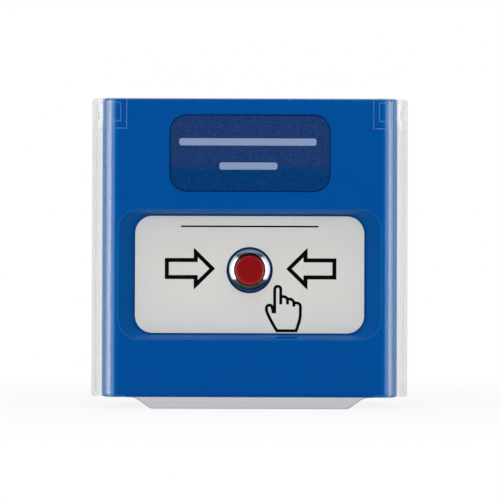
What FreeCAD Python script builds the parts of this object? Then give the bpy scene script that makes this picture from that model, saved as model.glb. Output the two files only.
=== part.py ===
import FreeCAD, Part
import os
import Sketcher

# Wall-mounted manual call point with a clear flip cover, in millimetres. X is to the right and Z is up,
# seen from the front. The origin is the middle of the back face, which lies on the wall. A depth is
# measured forward from the wall, so depth d is y = -d.

SIZES = [
    # housing and back box
    ("housing_width", "100", "outside width of the housing"),
    ("housing_height", "100.5", "outside height of the housing"),
    ("housing_depth", "44", "wall to the housing's front face"),
    ("housing_wall", "2.5", "wall of the moulded housing"),
    ("housing_side_radius", "5", "rounding of the two upright front edges"),
    ("housing_corner_radius", "1.5", "rounding of the top and bottom outline"),
    ("hollow_radius", "1", "corner radius inside the housing and the back box"),
    ("mouth_radius", "0.5", "rounding of the recess's and window's mouths"),
    ("base_depth", "14", "depth of the back box's outer wall"),
    ("base_floor", "2.5", "floor of the back box"),
    ("lip_height", "2.4", "locating lip above the back box's rim"),
    ("lip_thickness", "1.2", "thickness of the locating lip"),
    ("fit_clearance", "0.2", "gap between parts that slide together"),
    ("seal_thickness", "0.8", "housing seal between the rim and the housing"),
    ("seal_inset", "0.4", "how far the seal lies inside the outline"),
    # how the housing is held on the back box
    ("post_spacing", "60", "distance between the two screw posts"),
    ("post_width", "9", "width of a screw post"),
    ("post_depth", "24", "depth that the posts reach"),
    ("post_height", "9", "height of a screw post"),
    ("housing_screw_depth", "19.4", "depth of the housing screws' axes"),
    ("housing_screw_diameter", "2.8", "shank of a housing screw"),
    ("housing_screw_length", "9", "shank length of a housing screw"),
    ("housing_screw_head", "5.6", "head diameter of a housing screw"),
    ("housing_screw_head_height", "1.2", "head height of a housing screw"),
    ("screw_clearance", "0.1", "gap round a screw's shank and head"),
    ("hook_spacing", "84", "distance between the two top hooks"),
    ("hook_width", "8", "width of a hook"),
    ("hook_thickness", "1.8", "thickness of a hook's tongue"),
    ("hook_depth", "22", "depth that the hooks reach"),
    ("hook_nose", "2.5", "depth of the nose on a hook"),
    ("hook_catch", "1", "how far a nose enters the housing's top wall"),
    # wall fixing and cable entry
    ("wall_hole_spacing", "60", "distance between the wall screw holes"),
    ("wall_hole_diameter", "4.6", "wall screw hole"),
    ("wall_collar_diameter", "10", "raised collar round a wall screw hole"),
    ("wall_collar_height", "1.5", "height of that collar"),
    ("entry_diameter", "20", "cable entry in the back box's floor"),
    ("entry_rise", "22", "height of the cable entry above the middle"),
    ("grommet_flange", "2", "how far the grommet's flanges overlap the floor"),
    ("grommet_flange_thickness", "1.3", "thickness of each flange"),
    ("grommet_bore", "8", "cable hole through the grommet"),
    # window
    ("window_width", "54", "width of the window"),
    ("window_height", "25.9", "height of the window"),
    ("window_radius", "5.7", "corner radius of the window"),
    ("window_margin", "5.5", "housing's top to the window"),
    ("lens_clearance", "0.25", "gap round the lens"),
    ("lens_inset", "0.4", "lens face below the housing's face"),
    ("lens_flange", "2", "width of the lens's flange"),
    ("lens_flange_thickness", "1.2", "thickness of the lens's flange"),
    ("stack_clearance", "0.1", "gap between the pieces behind the window"),
    ("diffuser_thickness", "3", "thickness of the light diffuser"),
    ("skirt_depth", "8", "depth of the skirt round the lens's flange"),
    ("skirt_wall", "1.5", "wall of the skirt and of the light box"),
    # recess and legend plate
    ("recess_width", "88", "width of the recess's mouth"),
    ("recess_height", "43.4", "height of the recess's mouth"),
    ("recess_radius", "6.7", "corner radius of the recess's mouth"),
    ("recess_margin", "6.15", "window to the recess's mouth"),
    ("recess_depth", "7", "depth of the recess's floor below the face"),
    ("plate_width", "77.5", "width of the legend plate"),
    ("plate_height", "39.6", "height of the legend plate"),
    ("plate_radius", "5.9", "corner radius of the legend plate"),
    ("plate_thickness", "1", "thickness of the legend plate"),
    ("plate_clearance", "0.15", "gap round the legend plate"),
    ("plate_hole", "15.7", "hole in the plate round the button's bezel"),
    # push button
    ("button_lift", "1.5", "how far the button lies above the plate's middle"),
    ("bezel_diameter", "13.9", "outside of the metal bezel"),
    ("bezel_height", "3", "height of the bezel above the recess's floor"),
    ("bezel_crown", "0.25", "fall of the bezel's face over its inner half"),
    ("bezel_fall", "0.6", "fall over its outer half"),
    ("bezel_rounding", "3", "rounding between the two halves"),
    ("bezel_edge", "0.3", "rounding of the bezel's outer edge"),
    ("barrel_diameter", "12", "threaded barrel behind the bezel"),
    ("barrel_length", "10", "length of the barrel"),
    ("barrel_end", "2", "wall that closes the barrel's rear end"),
    ("barrel_clearance", "0.1", "gap round the barrel"),
    ("cap_diameter", "9.9", "red cap"),
    ("cap_clearance", "0.5", "gap between the cap and the bezel"),
    ("cap_proud", "1.4", "how far the cap stands above the bezel"),
    ("cap_length", "5.6", "length of the cap"),
    ("cap_rounding", "0.6", "rounding of the cap's rim"),
    ("button_travel", "1.8", "travel of the button"),
    ("stem_diameter", "3", "stem behind the cap"),
    ("stem_clearance", "0.15", "gap between the stem and the barrel's end"),
    ("groove_depth", "0.3", "groove in the stem for the retaining clip"),
    ("clip_diameter", "6.2", "outside of the retaining clip"),
    ("clip_thickness", "0.6", "thickness of the retaining clip"),
    ("clip_clearance", "0.15", "gap between the clip and the barrel's end at rest"),
    ("spring_diameter", "6.6", "mean diameter of the return spring"),
    ("spring_wire", "0.6", "wire of the return spring"),
    ("spring_turns", "3.5", "turns of the return spring"),
    ("washer_diameter", "16", "toothed washer behind the recess's floor"),
    ("washer_thickness", "0.6", "thickness of that washer"),
    ("nut_across_flats", "15", "hexagon nut of the button"),
    ("nut_thickness", "2.5", "thickness of the nut"),
    # switch block
    ("switch_width", "14.6", "width of the switch block"),
    ("switch_collar", "2", "how far the block grips the barrel"),
    ("switch_cavity", "10", "bore inside the block"),
    ("switch_floor", "1.5", "rear wall of the block"),
    ("bridge_length", "7.6", "moving contact bridge"),
    ("bridge_width", "2.4", "width of the bridge"),
    ("bridge_thickness", "0.5", "thickness of the bridge"),
    ("contact_gap", "0.1", "gap left between the contacts at full travel"),
    ("contact_spacing", "5", "distance between the fixed contacts"),
    ("contact_diameter", "2", "head of a fixed contact"),
    ("contact_height", "0.8", "height of that head"),
    ("contact_pin", "1", "solder pin of a fixed contact"),
    ("pin_protrusion", "1", "how far the solder pins pass the board"),
    # circuit board and what it carries
    ("board_depth", "17", "depth of the board's front face"),
    ("board_thickness", "1.6", "thickness of the board"),
    ("board_margin", "4.6", "light box to the screw bosses' middle"),
    ("board_head", "3.25", "housing's inside to the board's top edge"),
    ("board_foot", "13.25", "housing's inside to the board's bottom edge"),
    ("board_radius", "2", "corner radius of the board"),
    ("boss_inset", "4", "screw bosses inside the board's edges"),
    ("boss_diameter", "6", "screw boss under the board"),
    ("board_screw_diameter", "2.6", "shank of a board screw"),
    ("board_screw_length", "8", "how far a board screw enters its boss"),
    ("board_screw_head", "5.4", "head of a board screw"),
    ("board_screw_head_height", "2", "height of that head"),
    ("led_count", "4", "number of backlight lamps"),
    ("led_margin", "3.15", "window's side to the middle of the last lamp"),
    ("led_width", "3.6", "width of a lamp"),
    ("led_height", "1.6", "height of a lamp above the board"),
    ("terminal_ways", "6", "number of terminals"),
    ("terminal_width", "5", "width of one terminal"),
    ("terminal_margin", "1", "end wall of the terminal block"),
    ("terminal_height", "9.6", "height of the terminal block along the board"),
    ("terminal_depth", "9", "how far the block stands off the board"),
    ("terminal_drop", "10.5", "how far the block lies below the button"),
    ("terminal_shoulder", "2.6", "step on the block above the wire entries"),
    ("terminal_mouth", "3.4", "square wire entry"),
    ("terminal_mouth_depth", "5", "depth of a wire entry"),
    ("terminal_screw_diameter", "3.2", "clamp screw"),
    ("terminal_screw_length", "3", "length of a clamp screw"),
    ("terminal_screw_sink", "0.6", "how far the clamp screws lie below the block's top"),
    ("resistor_diameter", "2.4", "body of a resistor"),
    ("resistor_length", "6.5", "length of that body"),
    ("resistor_span", "11", "distance between a resistor's two leads"),
    ("resistor_lead", "0.7", "wire of the leads"),
    ("resistor_standoff", "2.2", "resistor's axis above the board"),
    ("resistor_spacing", "6", "distance between the resistors"),
    ("resistor_lift", "11.5", "how far the lower resistor lies above the button"),
    # flip cover and its hinge
    ("cover_gap", "2", "gap between the housing's face and the cover"),
    ("cover_side_gap", "1.25", "gap between the housing's side and the cover"),
    ("cover_wall", "2.1", "wall of the clear cover"),
    ("cover_inset", "0.15", "top and bottom of the cover inside the housing's outline"),
    ("cover_reach", "28", "depth of the cover's side walls"),
    ("cover_side_radius", "8", "rounding of the cover's upright edges"),
    ("cover_heel_radius", "4", "rounding of the side walls' rear corners"),
    ("cover_edge_radius", "1", "rounding of the cover's outer outline"),
    ("ear_height", "10.3", "height of the thicker corners at the hinge"),
    ("ear_width", "12", "width of those corners, from the outside"),
    ("ear_thickness", "0.5", "how much thicker they are"),
    ("ear_rounding", "0.06", "rounding of the ears' and the hinge lands' edges"),
    ("hinge_land_top", "1.7", "top of the cover to the land round the hinge hole"),
    ("hinge_land_height", "6.1", "height of that land"),
    ("hinge_land_width", "10", "width of that land, from the outside"),
    ("hinge_land_thickness", "0.9", "how much thicker the land is than the wall"),
    ("hinge_drop", "4.8", "housing's top to the hinge axis"),
    ("hinge_setback", "12", "housing's face to the hinge axis"),
    ("hinge_pin_diameter", "3", "hinge pin"),
    ("hinge_pin_reach", "1.25", "how far a hinge pin enters the cover"),
    ("hinge_clearance", "0.05", "running gap round a hinge pin"),
    ("hinge_boss_diameter", "7", "boss that holds a hinge pin in the housing"),
    ("hinge_boss_length", "5", "length of that boss"),
    ("pin_chamfer", "0.4", "chamfer on a hinge pin's ends"),
    ("finger_lip_top", "76.7", "width of the lifting lip at its root"),
    ("finger_lip_bottom", "66", "width of the lifting lip at its end"),
    ("finger_lip_drop", "3.7", "how far the lip reaches below the cover"),
    ("finger_lip_flare", "1.8", "how far the lip leans forward"),
    ("finger_lip_root", "6", "hollow rounding where the lip's sides meet the panel"),
    ("finger_lip_rounding", "3", "rounding of the lip's lower corners"),
]

doc = FreeCAD.newDocument("manual_call_point")
sheet = doc.addObject("Spreadsheet::Sheet", "sizes")
for row, (alias, number, meaning) in enumerate(SIZES, start=1):
    sheet.set(f"A{row}", meaning)
    sheet.set(f"B{row}", number)
    sheet.setAlias(f"B{row}", alias)
doc.recompute()


class Length:
    """A size with its number now and the expression that keeps it tied to the sheet."""

    def __init__(self, number, text):
        self.number = number
        self.text = text

    def __add__(self, other):
        other = as_length(other)
        return Length(self.number + other.number, f"({self.text} + {other.text})")

    def __sub__(self, other):
        other = as_length(other)
        return Length(self.number - other.number, f"({self.text} - {other.text})")

    def __mul__(self, other):
        other = as_length(other)
        return Length(self.number * other.number, f"({self.text} * {other.text})")

    def __truediv__(self, other):
        other = as_length(other)
        return Length(self.number / other.number, f"({self.text} / {other.text})")

    def __neg__(self):
        return self * -1

    def __rsub__(self, other):
        return as_length(other) - self


def as_length(value):
    """A plain number as a Length, and a Length as it is."""
    return value if isinstance(value, Length) else Length(value, str(value))


class Sizes:
    """The sheet's sizes as Lengths, by alias."""

    def __getattr__(self, alias):
        return Length(float(sheet.get(alias)), f"sizes.{alias}")


size = Sizes()
sub_parts = []


# ---------------------------------------------------------------- sketches and features

def new_body(name, rise=None):
    """A sub-part, raised by rise when its sketches are drawn round an axis of its own."""
    body = doc.addObject("PartDesign::Body", name)
    body.Label = name
    if rise is not None:
        bind(body, "Placement.Base.z", rise)
    sub_parts.append(body)
    return body


def bind(target, setting, value):
    """Tie a setting to the sheet."""
    target.setExpression(setting, as_length(value).text)


def sketch_on(body, name, role, offset):
    """A sketch parallel to one of the body's own planes."""
    sketch = body.newObject("Sketcher::SketchObject", name)
    plane = [feature for feature in body.Origin.OriginFeatures if feature.Role == role][0]
    sketch.AttachmentSupport = [(plane, "")]
    sketch.MapMode = "FlatFace"
    bind(sketch, "AttachmentOffset.Base.z", offset)
    return sketch


def front_sketch(body, name, depth):
    """Seen from the front, at a depth. Pads come forward and pockets go back to the wall."""
    return sketch_on(body, name, "XZ_Plane", depth)


def plan_sketch(body, name, height):
    """Seen from above, at a height. Its second coordinate is -depth."""
    return sketch_on(body, name, "XY_Plane", height)


def side_sketch(body, name, across):
    """Seen from the side, at an X. Its coordinates are -depth and height."""
    return sketch_on(body, name, "YZ_Plane", across)


def constrain(sketch, kind, value, *point):
    """One dimension of a sketch, tied to the sheet."""
    value = as_length(value)
    index = sketch.addConstraint(Sketcher.Constraint(kind, *point, value.number))
    sketch.setExpression(f"Constraints[{index}]", value.text)


def fix_point(sketch, line, end, across, up):
    constrain(sketch, "DistanceX", across, line, end)
    constrain(sketch, "DistanceY", up, line, end)


def vector(across, up):
    return FreeCAD.Vector(as_length(across).number, as_length(up).number, 0)


def polygon(sketch, corners):
    """A closed outline of straight lines, each corner at its own two sizes."""
    first = sketch.GeometryCount
    points = [vector(across, up) for across, up in corners]
    for start, end in zip(points, points[1:] + points[:1]):
        sketch.addGeometry(Part.LineSegment(start, end), False)
    for index, (across, up) in enumerate(corners):
        before = first + (index - 1) % len(corners)
        sketch.addConstraint(Sketcher.Constraint("Coincident", before, 2, first + index, 1))
        fix_point(sketch, first + index, 1, across, up)


def rectangle(sketch, left, bottom, right, top):
    polygon(sketch, [(left, bottom), (right, bottom), (right, top), (left, top)])


def circle(sketch, across, up, diameter):
    ring = Part.Circle(vector(across, up), FreeCAD.Vector(0, 0, 1), as_length(diameter).number / 2)
    index = sketch.addGeometry(ring, False)
    fix_point(sketch, index, 3, across, up)
    constrain(sketch, "Diameter", diameter, index)


QUARTER = 1.5707963267948966


def rounded_rectangle(sketch, across, up, width, height, radius):
    """A rectangle round (across, up): four lines that run tangent into four quarter circles."""
    first = sketch.GeometryCount
    side = as_length(width) / 2
    rise = as_length(height) / 2
    radius = as_length(radius)
    signs = [(1, -1), (1, 1), (-1, 1), (-1, -1)]
    for turn, (right, top) in enumerate(signs):
        centre_x = as_length(across) + (side - radius) * right
        centre_y = as_length(up) + (rise - radius) * top
        ring = Part.Circle(vector(centre_x, centre_y), FreeCAD.Vector(0, 0, 1), radius.number)
        start = (turn - 1) * QUARTER
        sketch.addGeometry(Part.ArcOfCircle(ring, start, start + QUARTER), False)
        fix_point(sketch, first + turn, 3, centre_x, centre_y)
        constrain(sketch, "Radius", radius, first + turn)
    for turn in range(4):
        arc, following = first + turn, first + (turn + 1) % 4
        line = Part.LineSegment(sketch.getPoint(arc, 2), sketch.getPoint(following, 1))
        index = sketch.addGeometry(line, False)
        sketch.addConstraint(Sketcher.Constraint("Tangent", arc, 2, index, 1))
        sketch.addConstraint(Sketcher.Constraint("Tangent", index, 2, following, 1))


def volume(body):
    """The body's volume, which is nothing before its first feature."""
    return 0 if body.Shape.isNull() else body.Shape.Volume


def finish_feature(body, feature, adds, before):
    """Recompute, and stop if the feature didn't add or cut anything."""
    doc.recompute()
    change = volume(body) - before
    if (change <= 0) if adds else (change >= 0):
        raise ValueError(f"{feature.Name} changed the volume by {change:.3f}")
    return feature


def extrude(body, kind, name, sketch, length, backwards=False, symmetric=False):
    before = volume(body)
    feature = body.newObject(kind, name)
    feature.Profile = sketch
    feature.Reversed = backwards
    if symmetric:
        feature.SideType = "Symmetric"
    bind(feature, "Length", length)
    return finish_feature(body, feature, kind == "PartDesign::Pad", before)


def pad(body, name, sketch, length, backwards=False, symmetric=False):
    return extrude(body, "PartDesign::Pad", name, sketch, length, backwards, symmetric)


def pocket(body, name, sketch, length, backwards=False, symmetric=False):
    return extrude(body, "PartDesign::Pocket", name, sketch, length, backwards, symmetric)


def turned(body, name, profile, kind="PartDesign::Revolution"):
    """A turned shape round the body's Y axis, from corners given as (depth, radius)."""
    before = volume(body)
    sketch = side_sketch(body, f"{name}_profile", 0)
    polygon(sketch, [(-as_length(depth), radius) for depth, radius in profile])
    feature = body.newObject(kind, name)
    feature.Profile = sketch
    feature.ReferenceAxis = (sketch, ["H_Axis"])
    feature.Angle = 360
    return finish_feature(body, feature, kind == "PartDesign::Revolution", before)


def edge_work(body, kind, setting, name, amount, wanted):
    """A fillet or chamfer on the edges that wanted() picks."""
    base = body.Tip
    picked = [f"Edge{n}" for n, edge in enumerate(base.Shape.Edges, start=1) if wanted(edge)]
    if not picked:
        raise ValueError(f"{name} found no edge")
    feature = body.newObject(kind, name)
    feature.Base = (base, picked)
    bind(feature, setting, amount)
    doc.recompute()
    return feature


def fillet(body, name, radius, wanted):
    return edge_work(body, "PartDesign::Fillet", "Radius", name, radius, wanted)


def chamfer(body, name, amount, wanted):
    return edge_work(body, "PartDesign::Chamfer", "Size", name, amount, wanted)


def repeat(body, name, feature, axis, spacing, count):
    """A row of copies of one feature, spacing apart."""
    pattern = body.newObject("PartDesign::LinearPattern", name)
    pattern.Originals = [feature]
    pattern.Direction = axis
    pattern.Mode = "Spacing"
    bind(pattern, "Offset", spacing)
    bind(pattern, "Occurrences", count)
    body.Tip = pattern
    doc.recompute()
    return pattern


def at(value, length):
    """True where a number lies on a size."""
    return abs(value - as_length(length).number) < 0.01


def flat_at_height(edge, height):
    """True for an edge that lies in the horizontal plane at a height."""
    return at(edge.BoundBox.ZMin, height) and at(edge.BoundBox.ZMax, height)


def flat_at_depth(edge, depth):
    """True for an edge that lies in the upright plane at a depth."""
    return at(-edge.BoundBox.YMin, depth) and at(-edge.BoundBox.YMax, depth)


def upright_at(edge, across, depth):
    """True for a vertical edge at plus or minus an X and at a depth."""
    box = edge.BoundBox
    return at(abs(box.Center.x), across) and box.XLength < 0.01 and flat_at_depth(edge, depth)


# ---------------------------------------------------------------- sizes that several pieces share

half_width = size.housing_width / 2
half_height = size.housing_height / 2
inside_half_width = half_width - size.housing_wall
inside_half_height = half_height - size.housing_wall
inside_face = size.housing_depth - size.housing_wall
housing_rear = size.base_depth + size.seal_thickness
lip_half_width = inside_half_width - size.fit_clearance
lip_half_height = inside_half_height - size.fit_clearance
base_half_width = lip_half_width - size.lip_thickness
base_half_height = lip_half_height - size.lip_thickness
recess_floor = size.housing_depth - size.recess_depth
tray_back = recess_floor - size.housing_wall
board_back = size.board_depth - size.board_thickness
window_rise = half_height - size.window_margin - size.window_height / 2
recess_rise = window_rise - size.window_height / 2 - size.recess_margin - size.recess_height / 2
button_rise = recess_rise + size.button_lift
flange_width = size.window_width + size.lens_flange * 2
flange_height = size.window_height + size.lens_flange * 2
flange_radius = size.window_radius + size.lens_flange
boss_x = flange_width / 2 + size.board_margin
board_width = (boss_x + size.boss_inset) * 2
board_height = inside_half_height * 2 - size.board_head - size.board_foot
board_rise = (size.board_foot - size.board_head) / 2
boss_z = board_height / 2 - size.boss_inset
boss_places = [(boss_x * side, board_rise + boss_z * end) for side in (-1, 1) for end in (-1, 1)]
flange_front = inside_face - size.stack_clearance
flange_back = flange_front - size.lens_flange_thickness
diffuser_front = flange_back - size.stack_clearance
diffuser_back = diffuser_front - size.diffuser_thickness
hinge_depth = size.housing_depth - size.hinge_setback
hinge_rise = half_height - size.hinge_drop
cover_half_width = half_width + size.cover_side_gap + size.cover_wall
cover_inside = size.housing_depth + size.cover_gap
cover_front = cover_inside + size.cover_wall
cover_top = half_height - size.cover_inset
land_x = cover_half_width - size.cover_wall - size.hinge_land_thickness
barrel_rear = recess_floor - size.barrel_length
switch_rear = size.board_depth + size.fit_clearance
switch_inside = switch_rear + size.switch_floor
bridge_rear = switch_inside + size.contact_height + size.button_travel + size.contact_gap
housing_screw_places = [(size.post_spacing / 2 * side, -size.housing_screw_depth) for side in (-1, 1)]


# ---------------------------------------------------------------- back box, seal and cable entry

def back_box():
    """Moulded box that is screwed to the wall: a floor, a rim with a locating lip, posts and hooks."""
    body = new_body("back_box")
    outline = front_sketch(body, "box_outline", 0)
    rounded_rectangle(outline, 0, 0, size.housing_width, size.housing_height, size.housing_corner_radius)
    pad(body, "box_block", outline, size.base_depth)
    hollow = front_sketch(body, "box_hollow", size.base_depth)
    rounded_rectangle(hollow, 0, 0, base_half_width * 2, base_half_height * 2, size.hollow_radius)
    pocket(body, "box_inside", hollow, size.base_depth - size.base_floor)
    lip = front_sketch(body, "lip_outline", size.base_depth)
    rounded_rectangle(lip, 0, 0, lip_half_width * 2, lip_half_height * 2, size.hollow_radius)
    rounded_rectangle(lip, 0, 0, base_half_width * 2, base_half_height * 2, size.hollow_radius)
    pad(body, "lip", lip, size.lip_height)
    add_screw_posts(body)
    add_top_hooks(body)
    add_wall_holes(body)
    add_cable_entry(body)


def add_screw_posts(body):
    """Two posts inside the lower wall, bored from below for the housing screws."""
    posts = front_sketch(body, "post_outlines", size.base_floor)
    for side in (-1, 1):
        middle = size.post_spacing / 2 * side
        half = size.post_width / 2
        rectangle(posts, middle - half, -lip_half_height, middle + half, size.post_height - lip_half_height)
    pad(body, "posts", posts, size.post_depth - size.base_floor)
    pilots = plan_sketch(body, "post_pilots", -lip_half_height)
    for across, along in housing_screw_places:
        circle(pilots, across, along, size.housing_screw_diameter + size.screw_clearance * 2)
    pocket(body, "post_bores", pilots, size.post_height, backwards=True)


def add_top_hooks(body):
    """Two tongues inside the upper wall whose noses catch in the housing."""
    tongues = front_sketch(body, "hook_tongues", size.base_floor)
    noses = front_sketch(body, "hook_noses", size.hook_depth - size.hook_nose)
    for side in (-1, 1):
        left = size.hook_spacing / 2 * side - size.hook_width / 2
        right = left + size.hook_width
        rectangle(tongues, left, lip_half_height - size.hook_thickness, right, lip_half_height)
        rectangle(noses, left, lip_half_height - size.hook_thickness, right,
                  inside_half_height + size.hook_catch)
    pad(body, "hooks", tongues, size.hook_depth - size.base_floor)
    pad(body, "noses", noses, size.hook_nose)


def add_wall_holes(body):
    """Two screw holes to the wall, each in a raised collar."""
    collars = front_sketch(body, "wall_collars", size.base_floor)
    holes = front_sketch(body, "wall_holes", size.base_floor + size.wall_collar_height)
    for side in (-1, 1):
        circle(collars, size.wall_hole_spacing / 2 * side, 0, size.wall_collar_diameter)
        circle(holes, size.wall_hole_spacing / 2 * side, 0, size.wall_hole_diameter)
    pad(body, "collars", collars, size.wall_collar_height)
    pocket(body, "wall_bores", holes, size.base_floor + size.wall_collar_height)


def add_cable_entry(body):
    """A hole in the floor, sunk at the back so that the grommet's flange stays behind the wall plane."""
    hole = front_sketch(body, "entry_hole", size.base_floor)
    circle(hole, 0, size.entry_rise, size.entry_diameter)
    pocket(body, "entry", hole, size.base_floor)
    sink = front_sketch(body, "entry_sink", 0)
    sink_diameter = size.entry_diameter + (size.grommet_flange + size.fit_clearance) * 2
    circle(sink, 0, size.entry_rise, sink_diameter)
    pocket(body, "entry_recess", sink, size.grommet_flange_thickness + size.fit_clearance, backwards=True)


def cable_grommet():
    """Rubber ring in the cable entry: two flanges and a neck between them."""
    body = new_body("cable_grommet", size.entry_rise)
    neck = size.entry_diameter / 2 - size.stack_clearance
    flange = size.entry_diameter / 2 + size.grommet_flange
    bore = size.grommet_bore / 2
    rear = size.stack_clearance
    web_rear = size.grommet_flange_thickness + size.stack_clearance
    web_front = size.base_floor + size.stack_clearance
    front = web_front + size.grommet_flange_thickness
    turned(body, "ring", [(rear, bore), (rear, flange), (web_rear, flange), (web_rear, neck),
                          (web_front, neck), (web_front, flange), (front, flange), (front, bore)])


def housing_seal():
    """Foam ring on the back box's rim."""
    body = new_body("housing_seal")
    ring = front_sketch(body, "seal_outline", size.base_depth)
    inset = size.seal_inset * 2
    gap = size.stack_clearance * 2
    rounded_rectangle(ring, 0, 0, size.housing_width - inset, size.housing_height - inset,
                      size.housing_corner_radius)
    rounded_rectangle(ring, 0, 0, lip_half_width * 2 + gap, lip_half_height * 2 + gap, size.hollow_radius)
    pad(body, "seal", ring, size.seal_thickness)


# ---------------------------------------------------------------- front housing

def front_housing():
    """Moulded front: a shell with a window, a sloping recess and everything that the board hangs on."""
    body = new_body("front_housing")
    plan = plan_sketch(body, "housing_plan", 0)
    rectangle(plan, -half_width, -size.housing_depth, half_width, -housing_rear)
    pad(body, "housing_block", plan, size.housing_height, symmetric=True)
    fillet(body, "side_rounding", size.housing_side_radius,
           lambda edge: upright_at(edge, half_width, size.housing_depth))
    fillet(body, "outline_rounding", size.housing_corner_radius, is_housing_outline)
    hollow = front_sketch(body, "housing_hollow", housing_rear)
    rounded_rectangle(hollow, 0, 0, inside_half_width * 2, inside_half_height * 2, size.hollow_radius)
    pocket(body, "housing_inside", hollow, inside_face - housing_rear, backwards=True)
    add_recess(body)
    add_window(body)
    add_hinge_bosses(body)
    add_housing_fixings(body)
    fillet(body, "mouth_rounding", size.mouth_radius, is_mouth)


def is_housing_outline(edge):
    """The top and bottom outlines, apart from their rear edges."""
    level = flat_at_height(edge, half_height) or flat_at_height(edge, -half_height)
    return level and not flat_at_depth(edge, housing_rear)


def is_mouth(edge):
    """The edges of the recess and the window in the front face."""
    box = edge.BoundBox
    inner_x = max(abs(box.XMin), abs(box.XMax)) < half_width.number - size.housing_side_radius.number - 0.1
    inner_z = max(abs(box.ZMin), abs(box.ZMax)) < half_height.number - size.housing_corner_radius.number - 0.1
    return flat_at_depth(edge, size.housing_depth) and inner_x and inner_z


def add_recess(body):
    """A tray behind the face, hollowed by a loft from the wide mouth to the plate's seat."""
    tray = front_sketch(body, "tray_outline", tray_back)
    rim = size.housing_wall * 2
    rounded_rectangle(tray, 0, recess_rise, size.recess_width + rim, size.recess_height + rim,
                      size.recess_radius + size.housing_wall)
    pad(body, "tray", tray, inside_face - tray_back)
    bosses = front_sketch(body, "boss_outlines", size.board_depth)
    pilots = front_sketch(body, "boss_pilots", size.board_depth)
    for across, up in boss_places:
        circle(bosses, across, up, size.boss_diameter)
        circle(pilots, across, up, size.board_screw_diameter + size.screw_clearance * 2)
    pad(body, "bosses", bosses, inside_face - size.board_depth)
    pocket(body, "boss_bores", pilots, size.board_screw_length + size.fit_clearance, backwards=True)
    mouth = front_sketch(body, "recess_mouth", size.housing_depth)
    rounded_rectangle(mouth, 0, recess_rise, size.recess_width, size.recess_height,
                      size.recess_radius)
    seat = front_sketch(body, "recess_seat", recess_floor)
    gap = size.plate_clearance * 2
    rounded_rectangle(seat, 0, recess_rise, size.plate_width + gap, size.plate_height + gap,
                      size.plate_radius + size.plate_clearance)
    before = volume(body)
    recess = body.newObject("PartDesign::SubtractiveLoft", "recess")
    recess.Profile = mouth
    recess.Sections = [seat]
    recess.Ruled = True
    finish_feature(body, recess, False, before)
    hole = front_sketch(body, "button_hole", recess_floor)
    circle(hole, 0, button_rise, size.barrel_diameter + size.barrel_clearance * 2)
    pocket(body, "button_bore", hole, size.housing_wall)


def add_window(body):
    """The window's opening, and a skirt behind it that holds the lens, the diffuser and the light box."""
    skirt = front_sketch(body, "skirt_outline", inside_face - size.skirt_depth)
    gap = size.fit_clearance * 2
    wall = size.skirt_wall * 2
    rounded_rectangle(skirt, 0, window_rise, flange_width + gap + wall, flange_height + gap + wall,
                      flange_radius + size.skirt_wall)
    rounded_rectangle(skirt, 0, window_rise, flange_width + gap, flange_height + gap, flange_radius)
    pad(body, "skirt", skirt, size.skirt_depth)
    opening = front_sketch(body, "window_outline", size.housing_depth)
    rounded_rectangle(opening, 0, window_rise, size.window_width, size.window_height,
                      size.window_radius)
    pocket(body, "window", opening, size.housing_wall)


def add_hinge_bosses(body):
    """A bored boss inside each side wall for a hinge pin."""
    boss_start = inside_half_width - size.hinge_boss_length
    for side, word in ((-1, "left"), (1, "right")):
        boss = side_sketch(body, f"hinge_boss_{word}", boss_start * side)
        circle(boss, -hinge_depth, hinge_rise, size.hinge_boss_diameter)
        pad(body, f"hinge_boss_pad_{word}", boss, size.hinge_boss_length + size.hollow_radius,
            backwards=side < 0)
        bore = side_sketch(body, f"hinge_bore_{word}", half_width * side)
        circle(bore, -hinge_depth, hinge_rise, size.hinge_pin_diameter)
        pocket(body, f"hinge_bore_cut_{word}", bore, size.housing_wall + size.hinge_boss_length,
               backwards=side < 0)


def add_housing_fixings(body):
    """Screw holes through the bottom wall and catches for the hooks in the top wall."""
    holes = plan_sketch(body, "fixing_holes", -half_height)
    sinks = plan_sketch(body, "fixing_sinks", -half_height)
    gap = size.screw_clearance * 2
    for across, along in housing_screw_places:
        circle(holes, across, along, size.housing_screw_diameter + gap)
        circle(sinks, across, along, size.housing_screw_head + gap)
    pocket(body, "fixing_bores", holes, size.housing_wall, backwards=True)
    pocket(body, "fixing_counterbores", sinks, size.housing_screw_head_height + size.screw_clearance,
           backwards=True)
    catches = plan_sketch(body, "catch_outlines", inside_half_height)
    for side in (-1, 1):
        middle = size.hook_spacing / 2 * side
        half = size.hook_width / 2 + size.fit_clearance
        rectangle(catches, middle - half, -(size.hook_depth + size.fit_clearance), middle + half,
                  -(size.hook_depth - size.hook_nose - size.fit_clearance))
    pocket(body, "catches", catches, size.hook_catch + size.fit_clearance, backwards=True)


def screw_group(name, plane, level, places, shank, length, head, head_height, upwards):
    """Like screws in one node: a shank from the level inwards and a head outwards from it."""
    body = new_body(name)
    shanks = plane(body, f"{name}_shanks", level)
    heads = plane(body, f"{name}_heads", level)
    for across, up in places:
        circle(shanks, across, up, shank)
        circle(heads, across, up, head)
    pad(body, f"{name}_shank_pads", shanks, length, backwards=not upwards)
    pad(body, f"{name}_head_pads", heads, head_height, backwards=upwards)
    return body


def housing_screws():
    """Two screws from below, through the housing's bottom wall into the posts."""
    screw_group("housing_screws", plan_sketch, size.housing_screw_head_height - half_height,
                housing_screw_places, size.housing_screw_diameter, size.housing_screw_length,
                size.housing_screw_head, size.housing_screw_head_height, True)


# ---------------------------------------------------------------- window stack

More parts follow.
